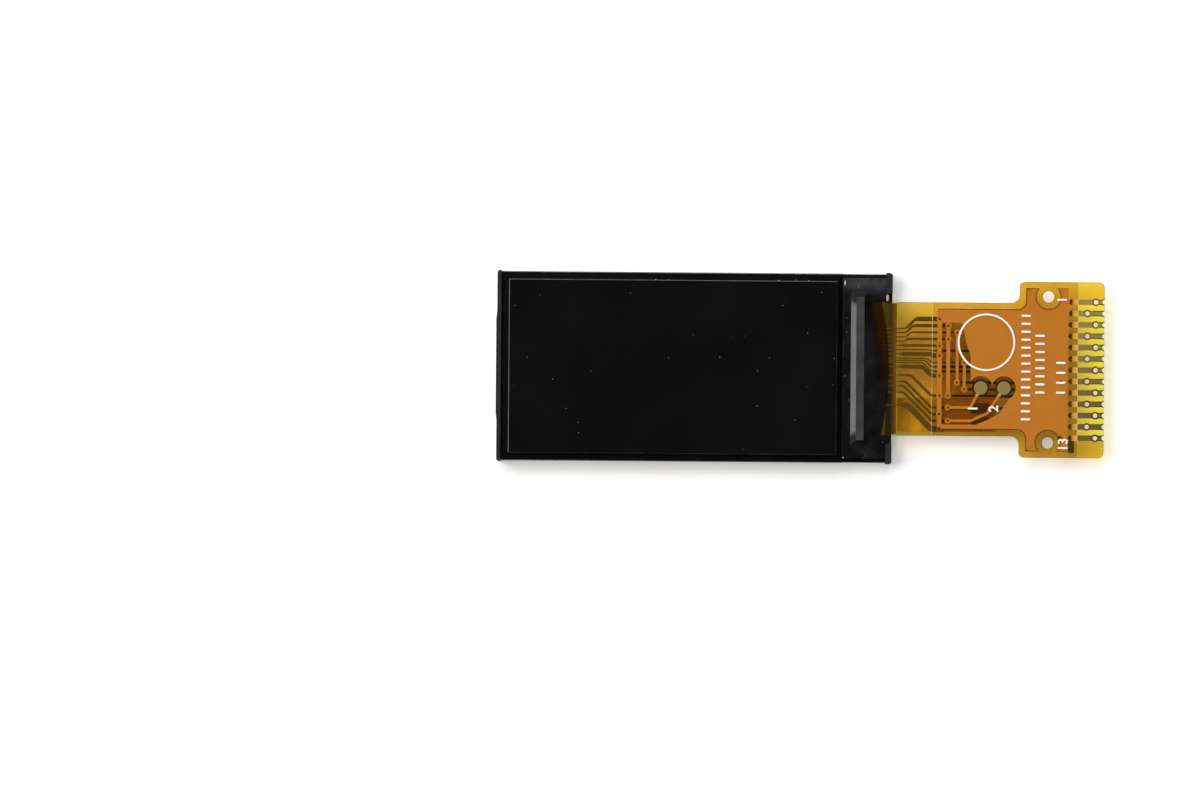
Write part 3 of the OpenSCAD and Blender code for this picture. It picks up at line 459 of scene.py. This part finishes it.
# copper foil, black treated against the film and plated on its open side: dark lines in front, gold behind
rearStyle = {
    "treated": "#45302a", "worn": "#573f39", "plate": "#d3ad5e", "grainMm": 0.2,
    "treatedRough": 0.55, "plateRough": 0.32, "facingDown": -0.5,
}
material, tree, place = newMaterial("treatedCopper")
grain = addNode(tree, "ShaderNodeTexNoise", {"Scale": 1 / (rearStyle["grainMm"] * mm), "Detail": 4},
                {"Vector": place})
dark = addNode(tree, "ShaderNodeMix",
               {"A": toLinear(rearStyle["treated"]), "B": toLinear(rearStyle["worn"])},
               {"Factor": grain.outputs["Fac"]}, data_type="RGBA")
turned = addNode(tree, "ShaderNodeNewGeometry")
turned = addNode(tree, "ShaderNodeSeparateXYZ", {}, {"Vector": turned.outputs["Normal"]})
below = addNode(tree, "ShaderNodeMath", {1: rearStyle["facingDown"]}, {0: turned.outputs["Z"]},
                operation="LESS_THAN")
tone = addNode(tree, "ShaderNodeMix", {"B": toLinear(rearStyle["plate"])},
               {"Factor": below.outputs[0], "A": dark.outputs[2]}, data_type="RGBA")
rough = addNode(tree, "ShaderNodeMapRange",
                {"To Min": rearStyle["treatedRough"], "To Max": rearStyle["plateRough"]},
                {"Value": below.outputs[0]})
copper = addNode(tree, "ShaderNodeBsdfPrincipled", {},
                 {"Base Color": tone.outputs[2], "Roughness": rough.outputs[0],
                  "Metallic": below.outputs[0]})
addNode(tree, "ShaderNodeOutputMaterial", {}, {"Surface": copper.outputs[0]})
dress(material, "rear_copper")

# a scrap of the same foil that the etching leaves beside the last pad, all in mm
lastScrap = {"spans": ((26.42, 26.86), (-5.86, -5.0), (1.0805, 1.0975)), "round": 0.1}
bm = bmesh.new()
addBlock(bm, lastScrap["spans"], lastScrap["round"], lambda a, b: a.z != b.z)
addPiece("foilScrap", bm, material, "rear_copper", smooth=False)

# conductive bond film, resin filled with fine metal balls: a dull brown with a fine speckle
dress(gritty("ballFilledResin", ("#33261b", "#4a3725"), (0.3, 0.5), 0.03, 0.002),
      "chip_bond_film", "flex_bond_film")
# diode flex, a film circuit under solder resist: cream, drawn in faint streaks along its length
dress(gritty("creamResist", ("#f2ebd8", "#faf6ea"), (0.3, 0.45), 0.5, 0.003, stretch=(0.05, 1, 1)),
      "led_flex")
# reflowed tin: bright grey with a frosted skin
dress(gritty("reflowedTin", ("#a9acb0", "#cfd2d4"), (0.25, 0.45), 0.08, 0.006, metallic=1.0),
      "led_solder")

# materials of the display body
# alkali-free glass, fusion drawn: clear, with a faint grey in its cut edges; cast acrylic: water clear
polished = {"skin": "#0e0e0e", "roughness": (0.03, 0.10), "rippleMm": 6, "ripple": 0.001, "cloudMm": 6}
glass = {"tint": "#e4e6e3", "deep": "#d9dcd8", "skinIor": 1.52, "sheen": (0.043, 0.95)}
acrylic = {"tint": "#eef5f8", "deep": "#e3eef3", "skinIor": 1.49, "sheen": (0.043, 0.95)}
showThinned("colour_filter_glass", clearLayer("fusionGlass.filter", **glass, **polished), "filter_glass")
showThinned("array_glass", clearLayer("fusionGlass.array", **glass, **polished), "array_glass")
showThinned("light_guide", clearLayer("castAcrylic", **acrylic, **polished), "clear_acrylic")

# black polycarbonate, moulded: a soft sheen and a fine spark-eroded grit
dress(gritty("mouldedPolycarbonate", ("#0d0d0e", "#1d1d20"), (0.42, 0.6), 0.07, 0.008), "backlight_frame")
# black PET tape: dead matt
blackTape = gritty("blackPetTape", ("#0b0b0c", "#141416"), (0.6, 0.7), 0.05, 0.003)
dress(blackTape, "rim_tape")
# white voided PET: bright, with a silky sheen
dress(gritty("voidedPet", ("#e6e8e8", "#f6f7f7"), (0.22, 0.35), 0.1, 0.002), "reflector_film")
# bead coated PET: milky
dress(gritty("beadCoatedPet", ("#eceae2", "#f7f6f0"), (0.6, 0.75), 0.03, 0.004), "diffuser_film")
# prism films: pale and silky, with ribs drawn at 0.1 mm so that they show, half as fine on the real film
prismTones = ("#d1dade", "#e8eef1")
dress(gritty("prismFilm.across", prismTones, (0.2, 0.3), 0.1, 0.01, stretch=(1, 0.02, 1)),
      "lower_prism_film")
dress(gritty("prismFilm.along", prismTones, (0.2, 0.3), 0.1, 0.01, stretch=(0.02, 1, 1)),
      "upper_prism_film")
# white polyamide with titanium dioxide: chalky
dress(gritty("whitePolyamide", ("#e9e7de", "#f6f5ef"), (0.5, 0.65), 0.05, 0.004), "led_housings")
# phosphor powder in silicone: opaque yellow
dress(gritty("phosphorSilicone", ("#d9bb2e", "#f2dc62"), (0.35, 0.5), 0.03, 0.003), "led_phosphors")
# iodine polariser with an antistatic skin: dark grey
dress(gritty("iodinePolariser.rear", ("#26282b", "#3a3d41"), (0.3, 0.4), 0.2, 0.001), "rear_polariser")
# epoxy seal, and the resin black matrix over the cell: near black
dress(gritty("sealEpoxy", ("#070708", "#101012"), (0.4, 0.5), 0.1, 0.001), "cell_seal")
dress(gritty("blackMatrix", ("#171616", "#232120"), (0.3, 0.4), 0.06, 0.001), "liquid_crystal")
# silicon, back-ground: mid grey with grinding lines along the die
dress(gritty("groundSilicon", ("#37373a", "#525256"), (0.3, 0.42), 0.05, 0.003, metallic=0.35,
             stretch=(1, 0.04, 1)), "driver_chip")

# front polariser, hard coated triacetate: black and glossy, with a few specks of dust
polariserStyle = {
    "film": "#09090a", "haze": "#131315", "hazeMm": 5,
    "dust": "#5d5f60", "dustMm": 0.9, "speckMm": 0.045, "kept": 0.87, "roughness": (0.07, 0.16), "ior": 1.49,
}
material, tree, place = newMaterial("iodinePolariser.front")
haze = addNode(tree, "ShaderNodeTexNoise", {"Scale": 1 / (polariserStyle["hazeMm"] * mm), "Detail": 6},
               {"Vector": place})
film = addNode(tree, "ShaderNodeMix",
               {"A": toLinear(polariserStyle["film"]), "B": toLinear(polariserStyle["haze"])},
               {"Factor": haze.outputs["Fac"]}, data_type="RGBA")
specks = addNode(tree, "ShaderNodeTexVoronoi", {"Scale": 1 / (polariserStyle["dustMm"] * mm)},
                 {"Vector": place}, voronoi_dimensions="2D")
luck = addNode(tree, "ShaderNodeSeparateColor", {}, {"Color": specks.outputs["Color"]})
reach = addNode(tree, "ShaderNodeMath", {1: polariserStyle["speckMm"] / polariserStyle["dustMm"]},
                {0: luck.outputs["Green"]}, operation="MULTIPLY")
near = addNode(tree, "ShaderNodeMath", {}, {0: specks.outputs["Distance"], 1: reach.outputs[0]},
               operation="LESS_THAN")
kept = addNode(tree, "ShaderNodeMath", {1: polariserStyle["kept"]}, {0: luck.outputs["Red"]},
               operation="GREATER_THAN")
dust = addNode(tree, "ShaderNodeMath", {}, {0: near.outputs[0], 1: kept.outputs[0]}, operation="MULTIPLY")
tone = addNode(tree, "ShaderNodeMix", {"B": toLinear(polariserStyle["dust"])},
               {"Factor": dust.outputs[0], "A": film.outputs[2]}, data_type="RGBA")
smooth, coarse = polariserStyle["roughness"]
smear = addNode(tree, "ShaderNodeMapRange", {"To Min": smooth, "To Max": coarse},
                {"Value": haze.outputs["Fac"]})
rough = addNode(tree, "ShaderNodeMath", {}, {0: smear.outputs[0], 1: dust.outputs[0]}, operation="MAXIMUM")
gloss = addNode(tree, "ShaderNodeBsdfPrincipled", {"IOR": polariserStyle["ior"]},
                {"Base Color": tone.outputs[2], "Roughness": rough.outputs[0]})
addNode(tree, "ShaderNodeOutputMaterial", {}, {"Surface": gloss.outputs[0]})
dress(material, "front_polariser")

# ledge coating, an elastic resin laid by needle: dark and wet looking, with slow waves in its skin
coatStyle = {
    "thin": "#0e0e10", "thick": "#202024", "smearMm": 1.4, "waveMm": 0.55, "waveDepth": 0.05,
    "relief": 0.6, "contrast": (0.4, 0.7), "roughness": (0.16, 0.3), "ior": 1.5,
    "chipEnd": (11.62, 5.27, 1.2), "dullReach": (0.62, 0.95), "gleam": (0.04, 0.5),
    "bare": "#4b4a4d", "bareFrom": 5.2, "bareTo": 6.0,
    "bowCentre": (-6.78, -1.8), "bowRadius": 20.44, "feather": 1.3, "half": 4.72, "edge": "#e8dccb",
    "clearest": 0.92,
}
material, tree, place = newMaterial("needleLaidResin")
wave = addNode(tree, "ShaderNodeTexNoise", {"Scale": 1 / (coatStyle["waveMm"] * mm), "Detail": 3},
               {"Vector": place})
smear = addNode(tree, "ShaderNodeTexNoise", {"Scale": 1 / (coatStyle["smearMm"] * mm), "Detail": 6},
                {"Vector": place})
faint, strong = coatStyle["contrast"]
spread = addNode(tree, "ShaderNodeMapRange", {"From Min": faint, "From Max": strong},
                 {"Value": smear.outputs["Fac"]})
tone = addNode(tree, "ShaderNodeMix", {"A": toLinear(coatStyle["thin"]), "B": toLinear(coatStyle["thick"])},
               {"Factor": spread.outputs[0]}, data_type="RGBA")
across = addNode(tree, "ShaderNodeSeparateXYZ", {}, {"Vector": place})
# the coat is paler towards one side of the ledge, mottled by its waves
bare = addNode(tree, "ShaderNodeMapRange",
               {"From Min": coatStyle["bareFrom"] * mm, "From Max": coatStyle["bareTo"] * mm},
               {"Value": across.outputs["Y"]})
bare = addNode(tree, "ShaderNodeMath", {}, {0: bare.outputs[0], 1: wave.outputs["Fac"]}, operation="MULTIPLY")
tone = addNode(tree, "ShaderNodeMix", {"B": toLinear(coatStyle["bare"])},
               {"Factor": bare.outputs[0], "A": tone.outputs[2]}, data_type="RGBA")
relief = addNode(tree, "ShaderNodeBump",
                 {"Strength": coatStyle["relief"], "Distance": coatStyle["waveDepth"] * mm},
                 {"Height": wave.outputs["Fac"]})
# it is duller past the ends of the chip
across = addNode(tree, "ShaderNodeMath", {}, {0: across.outputs["Y"]}, operation="ABSOLUTE")
folded = addNode(tree, "ShaderNodeVectorMath", {}, {0: place}, operation="ABSOLUTE")
chipEnd = [c * mm for c in coatStyle["chipEnd"]]
reach = addNode(tree, "ShaderNodeVectorMath", {1: chipEnd}, {0: folded.outputs[0]}, operation="DISTANCE")
dullNear, dullFar = coatStyle["dullReach"]
leastGleam, fullGleam = coatStyle["gleam"]
dull = addNode(tree, "ShaderNodeMapRange",
               {"From Min": dullNear * mm, "From Max": dullFar * mm,
                "To Min": leastGleam, "To Max": fullGleam}, {"Value": reach.outputs["Value"]})
smooth, coarse = coatStyle["roughness"]
rough = addNode(tree, "ShaderNodeMapRange", {"To Min": smooth, "To Max": coarse},
                {"Value": wave.outputs["Fac"]})
resin = addNode(tree, "ShaderNodeBsdfPrincipled", {"IOR": coatStyle["ior"]},
                {"Base Color": tone.outputs[2], "Roughness": rough.outputs[0], "Normal": relief.outputs[0],
                 "Specular IOR Level": dull.outputs[0]})
# its tongue over the flexible circuit thins out to a feather edge
flat = addNode(tree, "ShaderNodeVectorMath", {1: (1, 1, 0)}, {0: place}, operation="MULTIPLY")
bowCentre = [c * mm for c in coatStyle["bowCentre"]]
reach = addNode(tree, "ShaderNodeVectorMath", {1: (*bowCentre, 0)}, {0: flat.outputs[0]},
                operation="DISTANCE")
bowEdge = coatStyle["bowRadius"] * mm
thin = addNode(tree, "ShaderNodeMapRange",
               {"From Min": bowEdge - coatStyle["feather"] * mm, "From Max": bowEdge,
                "To Max": coatStyle["clearest"]},
               {"Value": reach.outputs["Value"]})
across = addNode(tree, "ShaderNodeMath", {1: coatStyle["half"] * mm}, {0: across.outputs[0]},
                 operation="LESS_THAN")
thin = addNode(tree, "ShaderNodeMath", {}, {0: thin.outputs[0], 1: across.outputs[0]}, operation="MULTIPLY")
clear = addNode(tree, "ShaderNodeBsdfTransparent", {"Color": toLinear(coatStyle["edge"])})
both = addNode(tree, "ShaderNodeMixShader", {},
               {0: thin.outputs[0], 1: resin.outputs[0], 2: clear.outputs[0]})
addNode(tree, "ShaderNodeOutputMaterial", {}, {"Surface": both.outputs[0]})
showThinned("ledge_sealant", material, "sealant")
print("materials set")

# white print on the front coverlay, sizes in mm
# epoxy ink, screen printed: an opaque white with a dull and slightly grainy skin
whiteInk = gritty("screenInk", ("#f1ede2", "#fffdf6"), (0.5, 0.65), 0.06, 0.004)
ink = {"thick": 0.014, "sink": 0.002}
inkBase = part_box("front_coverlay")[1][2] / mm - ink["sink"]
inkSpan = (inkBase, inkBase + ink["thick"])

inkRing = {"centre": (20.61, 1.915), "inner": 1.9, "outer": 2.03}
bm = bmesh.new()
addRing(bm, **inkRing, base=inkBase, thick=ink["thick"])
addPiece("inkRing", bm, whiteInk, "white_film", smooth=False)

# plain strokes hold the place of the printed lines: x of a line, y of its ends, number of strokes
strokes = {
    "lines": ((23.4, 3.8, -3.5, 14), (24.4, 2.4, -1.6, 8), (25.87, 0.5, -1.6, 4)),
    "long": 0.66, "wide": 0.15, "round": 0.06,
}
bm = bmesh.new()
for x, top, low, count in strokes["lines"]:
    for i in range(count):
        y = top + (low - top) * i / (count - 1)
        spans = [(middle - size / 2, middle + size / 2)
                 for middle, size in ((x, strokes["long"]), (y, strokes["wide"]))]
        addBlock(bm, (*spans, inkSpan), strokes["round"], lambda a, b: a.z != b.z)
addPiece("inkStrokes", bm, whiteInk, "white_film", smooth=False)

# numbers of the first and last pin and of the test pads, read from the side: words, x and y
numbers = {
    "places": (("1", 26.25, 4.72), ("13", 26.37, -5.74), ("1", 20.0, -3.0), ("2", 21.45, -3.0)),
    "size": 0.945, "bold": 0.02,
}
for i, (words, x, y) in enumerate(numbers["places"]):
    curve = bpy.data.curves.new("inkNumber", "FONT")
    curve.body = words
    curve.size = numbers["size"] * mm
    curve.offset = numbers["bold"] * mm
    curve.extrude = ink["thick"] / 2 * mm
    holder = bpy.data.objects.new("inkNumber", curve)
    scene.collection.objects.link(holder)
    bpy.context.view_layer.update()
    mesh = bpy.data.meshes.new_from_object(holder.evaluated_get(bpy.context.evaluated_depsgraph_get()))
    bpy.data.objects.remove(holder)
    bm = bmesh.new()
    bm.from_mesh(mesh)
    bmesh.ops.remove_doubles(bm, verts=bm.verts, dist=weld)
    bmesh.ops.rotate(bm, verts=bm.verts, cent=(0, 0, 0), matrix=Matrix.Rotation(math.radians(90), 3, "Z"))
    bmesh.ops.translate(bm, verts=bm.verts, vec=Vector((x, y, inkBase + ink["thick"] / 2)) * mm)
    addPiece("inkNumber%d" % i, bm, whiteInk, "white_film", smooth=False)
print("print set")

# what the laminating and the hand work leave behind
# a wedge of acrylic adhesive around the polariser's cut edge: dark, with grey patches painted on as the
# highlight of the cut edge
edgeStyle = {"wide": 0.05 * mm, "high": 0.018 * mm}
edgeGlueAndHighlight = gritty("edgeAdhesiveAndHighlight", ("#141516", "#4c4d4e"), (0.3, 0.5), 0.4, 0.004)
low, high = [Vector(corner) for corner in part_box("front_polariser")]
bm = bmesh.new()
made = bmesh.ops.create_grid(bm, x_segments=1, y_segments=1, size=0.5)["verts"]
bmesh.ops.scale(bm, verts=made, vec=high - low + Vector((2, 2, 0)) * edgeStyle["wide"])
bmesh.ops.translate(bm, verts=made, vec=((low.x + high.x) / 2, (low.y + high.y) / 2, low.z))
sheet = bm.faces[:]
bmesh.ops.inset_region(bm, faces=sheet, thickness=edgeStyle["wide"], use_boundary=True,
                       use_even_offset=True)
bmesh.ops.delete(bm, geom=sheet, context="FACES_ONLY")
lifted = bmesh.ops.extrude_face_region(bm, geom=bm.faces[:])["geom"]
lifted = [v for v in lifted if isinstance(v, bmesh.types.BMVert)]
rim = [v for v in lifted if low.x - weld < v.co.x < high.x + weld]
bmesh.ops.translate(bm, verts=rim, vec=(0, 0, edgeStyle["high"]))
bmesh.ops.remove_doubles(bm, verts=bm.verts, dist=weld)
addPiece("polariserEdge", bm, edgeGlueAndHighlight, "front_polariser", smooth=False)

# epoxy adhesive pressed out at the cut ends of the coverlays, a pale straw line that also stands as a painted
# highlight on the cut edge: x, y and z spans in mm
coverGlueAndHighlight = gritty("coverlayAdhesiveAndHighlight", ("#e9d68a", "#f7ecb6"), (0.35, 0.5), 0.2, 0.003)
coverLines = {
    "frontCoverlayLine": ((16.787, 16.805), (-4.66, 4.66), (1.123, 1.15)),
    "rearCoverlayLine": ((14.307, 14.325), (-4.66, 4.66), (1.045, 1.078)),
    "frontCoverlayEnd": ((27.055, 27.075), (-4.98, 4.98), (1.142, 1.166)),
}
coverLineSoft = 0.006
for name, spans in coverLines.items():
    bm = bmesh.new()
    addBlock(bm, spans, coverLineSoft)
    addPiece(name, bm, coverGlueAndHighlight, "front_coverlay")

# beside the row of pads the coverlay runs on to the end of the circuit
corner = {"x": (27.056, 28.93), "y": (5.03, 6.2), "z": (1.1235, 1.17), "round": 0.38}
cornerStyle = {"tint": "#f5e7d0", "deep": "#f2e2c4", "sheen": (0.006, 0.8), "cloudMm": 1.2}
bm = bmesh.new()
for side in (-1, 1):
    spans = (corner["x"], sorted(side * y for y in corner["y"]), corner["z"])
    addBlock(bm, spans, corner["round"], lambda a, b: a.z != b.z and a.x > 0 and a.y * side > 0,
             segments=8)
addPiece("coverlayCorners", bm, clearLayer("polyimide.corners", **cornerStyle, **polyimide),
         "front_coverlay", smooth=False)

# dark brown plugs in each via and rings around the test pads: painted shade in the via bores and in the
# clearance around the pads
shadeFill = {
    "plug": 0.072, "plugTop": 0.06, "plugSpan": (1.1, 1.12), "plugSides": 16,
    "inner": 0.478, "outer": 0.622, "base": 1.1232, "thick": 0.009, "steps": 48,
}
paintedShadeFill = gritty("paintedShadeFill", ("#22150a", "#3a2410"), (0.3, 0.4), 0.05, 0.002)
bm = copyOf("plated_vias")
waiting = set(bm.verts)
viaCentres = []
for start in bm.verts:
    if start in waiting:
        reached = [start]
        waiting.remove(start)
        for v in reached:
            ring = [e.other_vert(v) for e in v.link_edges if e.other_vert(v) in waiting]
            waiting.difference_update(ring)
            reached += dict.fromkeys(ring)
        viaCentres.append(sum((v.co for v in reached), Vector()) / len(reached))
bm.free()
bm = bmesh.new()
plugLow, plugHigh = shadeFill["plugSpan"]
for centre in viaCentres:
    spot = Matrix.Translation((centre.x, centre.y, (plugLow + plugHigh) / 2 * mm))
    bmesh.ops.create_cone(bm, cap_ends=True, segments=shadeFill["plugSides"], radius1=shadeFill["plug"] * mm,
                          radius2=shadeFill["plugTop"] * mm, depth=(plugHigh - plugLow) * mm, matrix=spot)
addPiece("viaShadeFill", bm, paintedShadeFill, "sealant", smooth=False)
bm = bmesh.new()
for centre in copperStyle["testPads"]:
    addRing(bm, centre, shadeFill["inner"], shadeFill["outer"], shadeFill["base"], shadeFill["thick"],
            shadeFill["steps"])
addPiece("testPadShadeRing", bm, paintedShadeFill, "sealant", smooth=False)

# black tape holds the tail of the diode flex down at the frame
tailTape = {"spans": ((13.56, 13.965), (-4.44, -2.04), (0.552, 0.6)), "soft": 0.012}
bm = bmesh.new()
addBlock(bm, tailTape["spans"], tailTape["soft"])
addPiece("tailTape", bm, blackTape, "black_tape")

# amber silicone under the flexible circuit, painted dark brown beside the frame as the shadow of the frame's
# wall
rearBead = {
    "strip": ((13.93, 14.305), (-4.62, 4.62), (1.0, 1.0795)), "soft": 0.012,
    "area": ((13.545, 13.95), (-1.75, 4.62), (1.0, 1.079)),
    # thick is the painted shadow beside the frame, thin the lit colour further out
    "thick": "#260c08", "thin": "#834c26",
    "recessShade": "#0a0706", "recessShadeSides": (("X", 14.05, 13.85), ("Y", -0.6, -1.6)),
    "shadowFade": (14.045, 14.36), "driftMm": 0.7, "wander": 0.12, "roughness": (0.4, 0.6),
}
material, tree, place = newMaterial("amberSiliconeAndShadow")
along = addNode(tree, "ShaderNodeSeparateXYZ", {}, {"Vector": place})
drift = addNode(tree, "ShaderNodeTexNoise", {"Scale": 1 / (rearBead["driftMm"] * mm), "Detail": 3},
                {"Vector": place})
wander = addNode(tree, "ShaderNodeMath", {1: rearBead["wander"] * mm}, {0: drift.outputs["Fac"]},
                 operation="MULTIPLY")
drawn = addNode(tree, "ShaderNodeMath", {}, {0: along.outputs["X"], 1: wander.outputs[0]}, operation="ADD")
shadedEnd, litEnd = rearBead["shadowFade"]
ramp = addNode(tree, "ShaderNodeMapRange", {"From Min": shadedEnd * mm, "From Max": litEnd * mm},
               {"Value": drawn.outputs[0]})
tone = addNode(tree, "ShaderNodeMix", {"A": toLinear(rearBead["thick"]), "B": toLinear(rearBead["thin"])},
               {"Factor": ramp.outputs[0]}, data_type="RGBA")
# it is painted near black at one side, as the shade of the recess beside the frame
recessShade = softPatch(tree, place, rearBead["recessShadeSides"])
tone = addNode(tree, "ShaderNodeMix", {"B": toLinear(rearBead["recessShade"])},
               {"Factor": recessShade.outputs[0], "A": tone.outputs[2]}, data_type="RGBA")
smooth, coarse = rearBead["roughness"]
rough = addNode(tree, "ShaderNodeMapRange", {"To Min": smooth, "To Max": coarse},
                {"Value": drift.outputs["Fac"]})
rubber = addNode(tree, "ShaderNodeBsdfPrincipled", {},
                 {"Base Color": tone.outputs[2], "Roughness": rough.outputs[0]})
addNode(tree, "ShaderNodeOutputMaterial", {}, {"Surface": rubber.outputs[0]})
bm = bmesh.new()
addBlock(bm, rearBead["strip"], rearBead["soft"])
addBlock(bm, rearBead["area"], rearBead["soft"])
addPiece("rearSealant", bm, material, "sealant")

# dabs and specks: x, y, z, size along and across, height, seed
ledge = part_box("array_glass")[1][2] / mm
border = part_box("colour_filter_glass")[1][2] / mm
glueBase = ledge - 0.01
coatTop = ledge + 0.04
dabs = {
    "silverDabs": (
        (10.62, 5.98, ledge, 0.14, 0.5, 0.15, 3), (10.56, -6.3, ledge, 0.12, 0.14, 0.13, 5),
        (11.56, 5.74, ledge, 0.07, 0.07, 0.08, 8),
    ),
    "glueDabs": (
        (13.5, 5.0, glueBase, 0.46, 0.7, 0.06, 11), (13.34, -5.18, glueBase, 0.16, 0.16, 0.07, 13),
        (13.35, -4.93, glueBase, 0.3, 0.34, 0.05, 17),
    ),
    "edgeDust": (
        (-2.75, 6.14, border, 0.09, 0.07, 0.05, 21), (-1.84, 6.13, border, 0.06, 0.06, 0.04, 22),
        (5.94, 6.15, border, 0.1, 0.06, 0.05, 23), (7.11, 6.19, border, 0.07, 0.06, 0.04, 24),
        (8.05, 6.14, border, 0.08, 0.07, 0.05, 25), (10.73, 3.54, coatTop, 0.05, 0.06, 0.04, 26),
        (10.74, 2.56, coatTop, 0.05, 0.05, 0.04, 27), (10.66, -0.55, coatTop, 0.06, 0.06, 0.05, 28),
        (10.95, -2.24, coatTop, 0.05, 0.04, 0.04, 29),
    ),
}
# silver paste: a bright, grainy grey; filled epoxy: waxy cream; cotton lint: dull pale specks
silverPaste = gritty("silverPaste", ("#b9bbbd", "#e2e3e4"), (0.4, 0.6), 0.05, 0.006, metallic=0.6)
creamEpoxy = gritty("creamEpoxy", ("#8d8468", "#c9bf9f"), (0.4, 0.6), 0.2, 0.01)
lint = gritty("lint", ("#8d8f90", "#c4c6c6"), (0.7, 0.9), 0.03, 0.006)
dabFinishes = {
    "silverDabs": (silverPaste, "solder"), "glueDabs": (creamEpoxy, "white_housing"),
    "edgeDust": (lint, "white_film"),
}
for name, places in dabs.items():
    bm = bmesh.new()
    for spot in places:
        addDab(bm, *spot)
    addPiece(name, bm, *dabFinishes[name])
print("small things set")
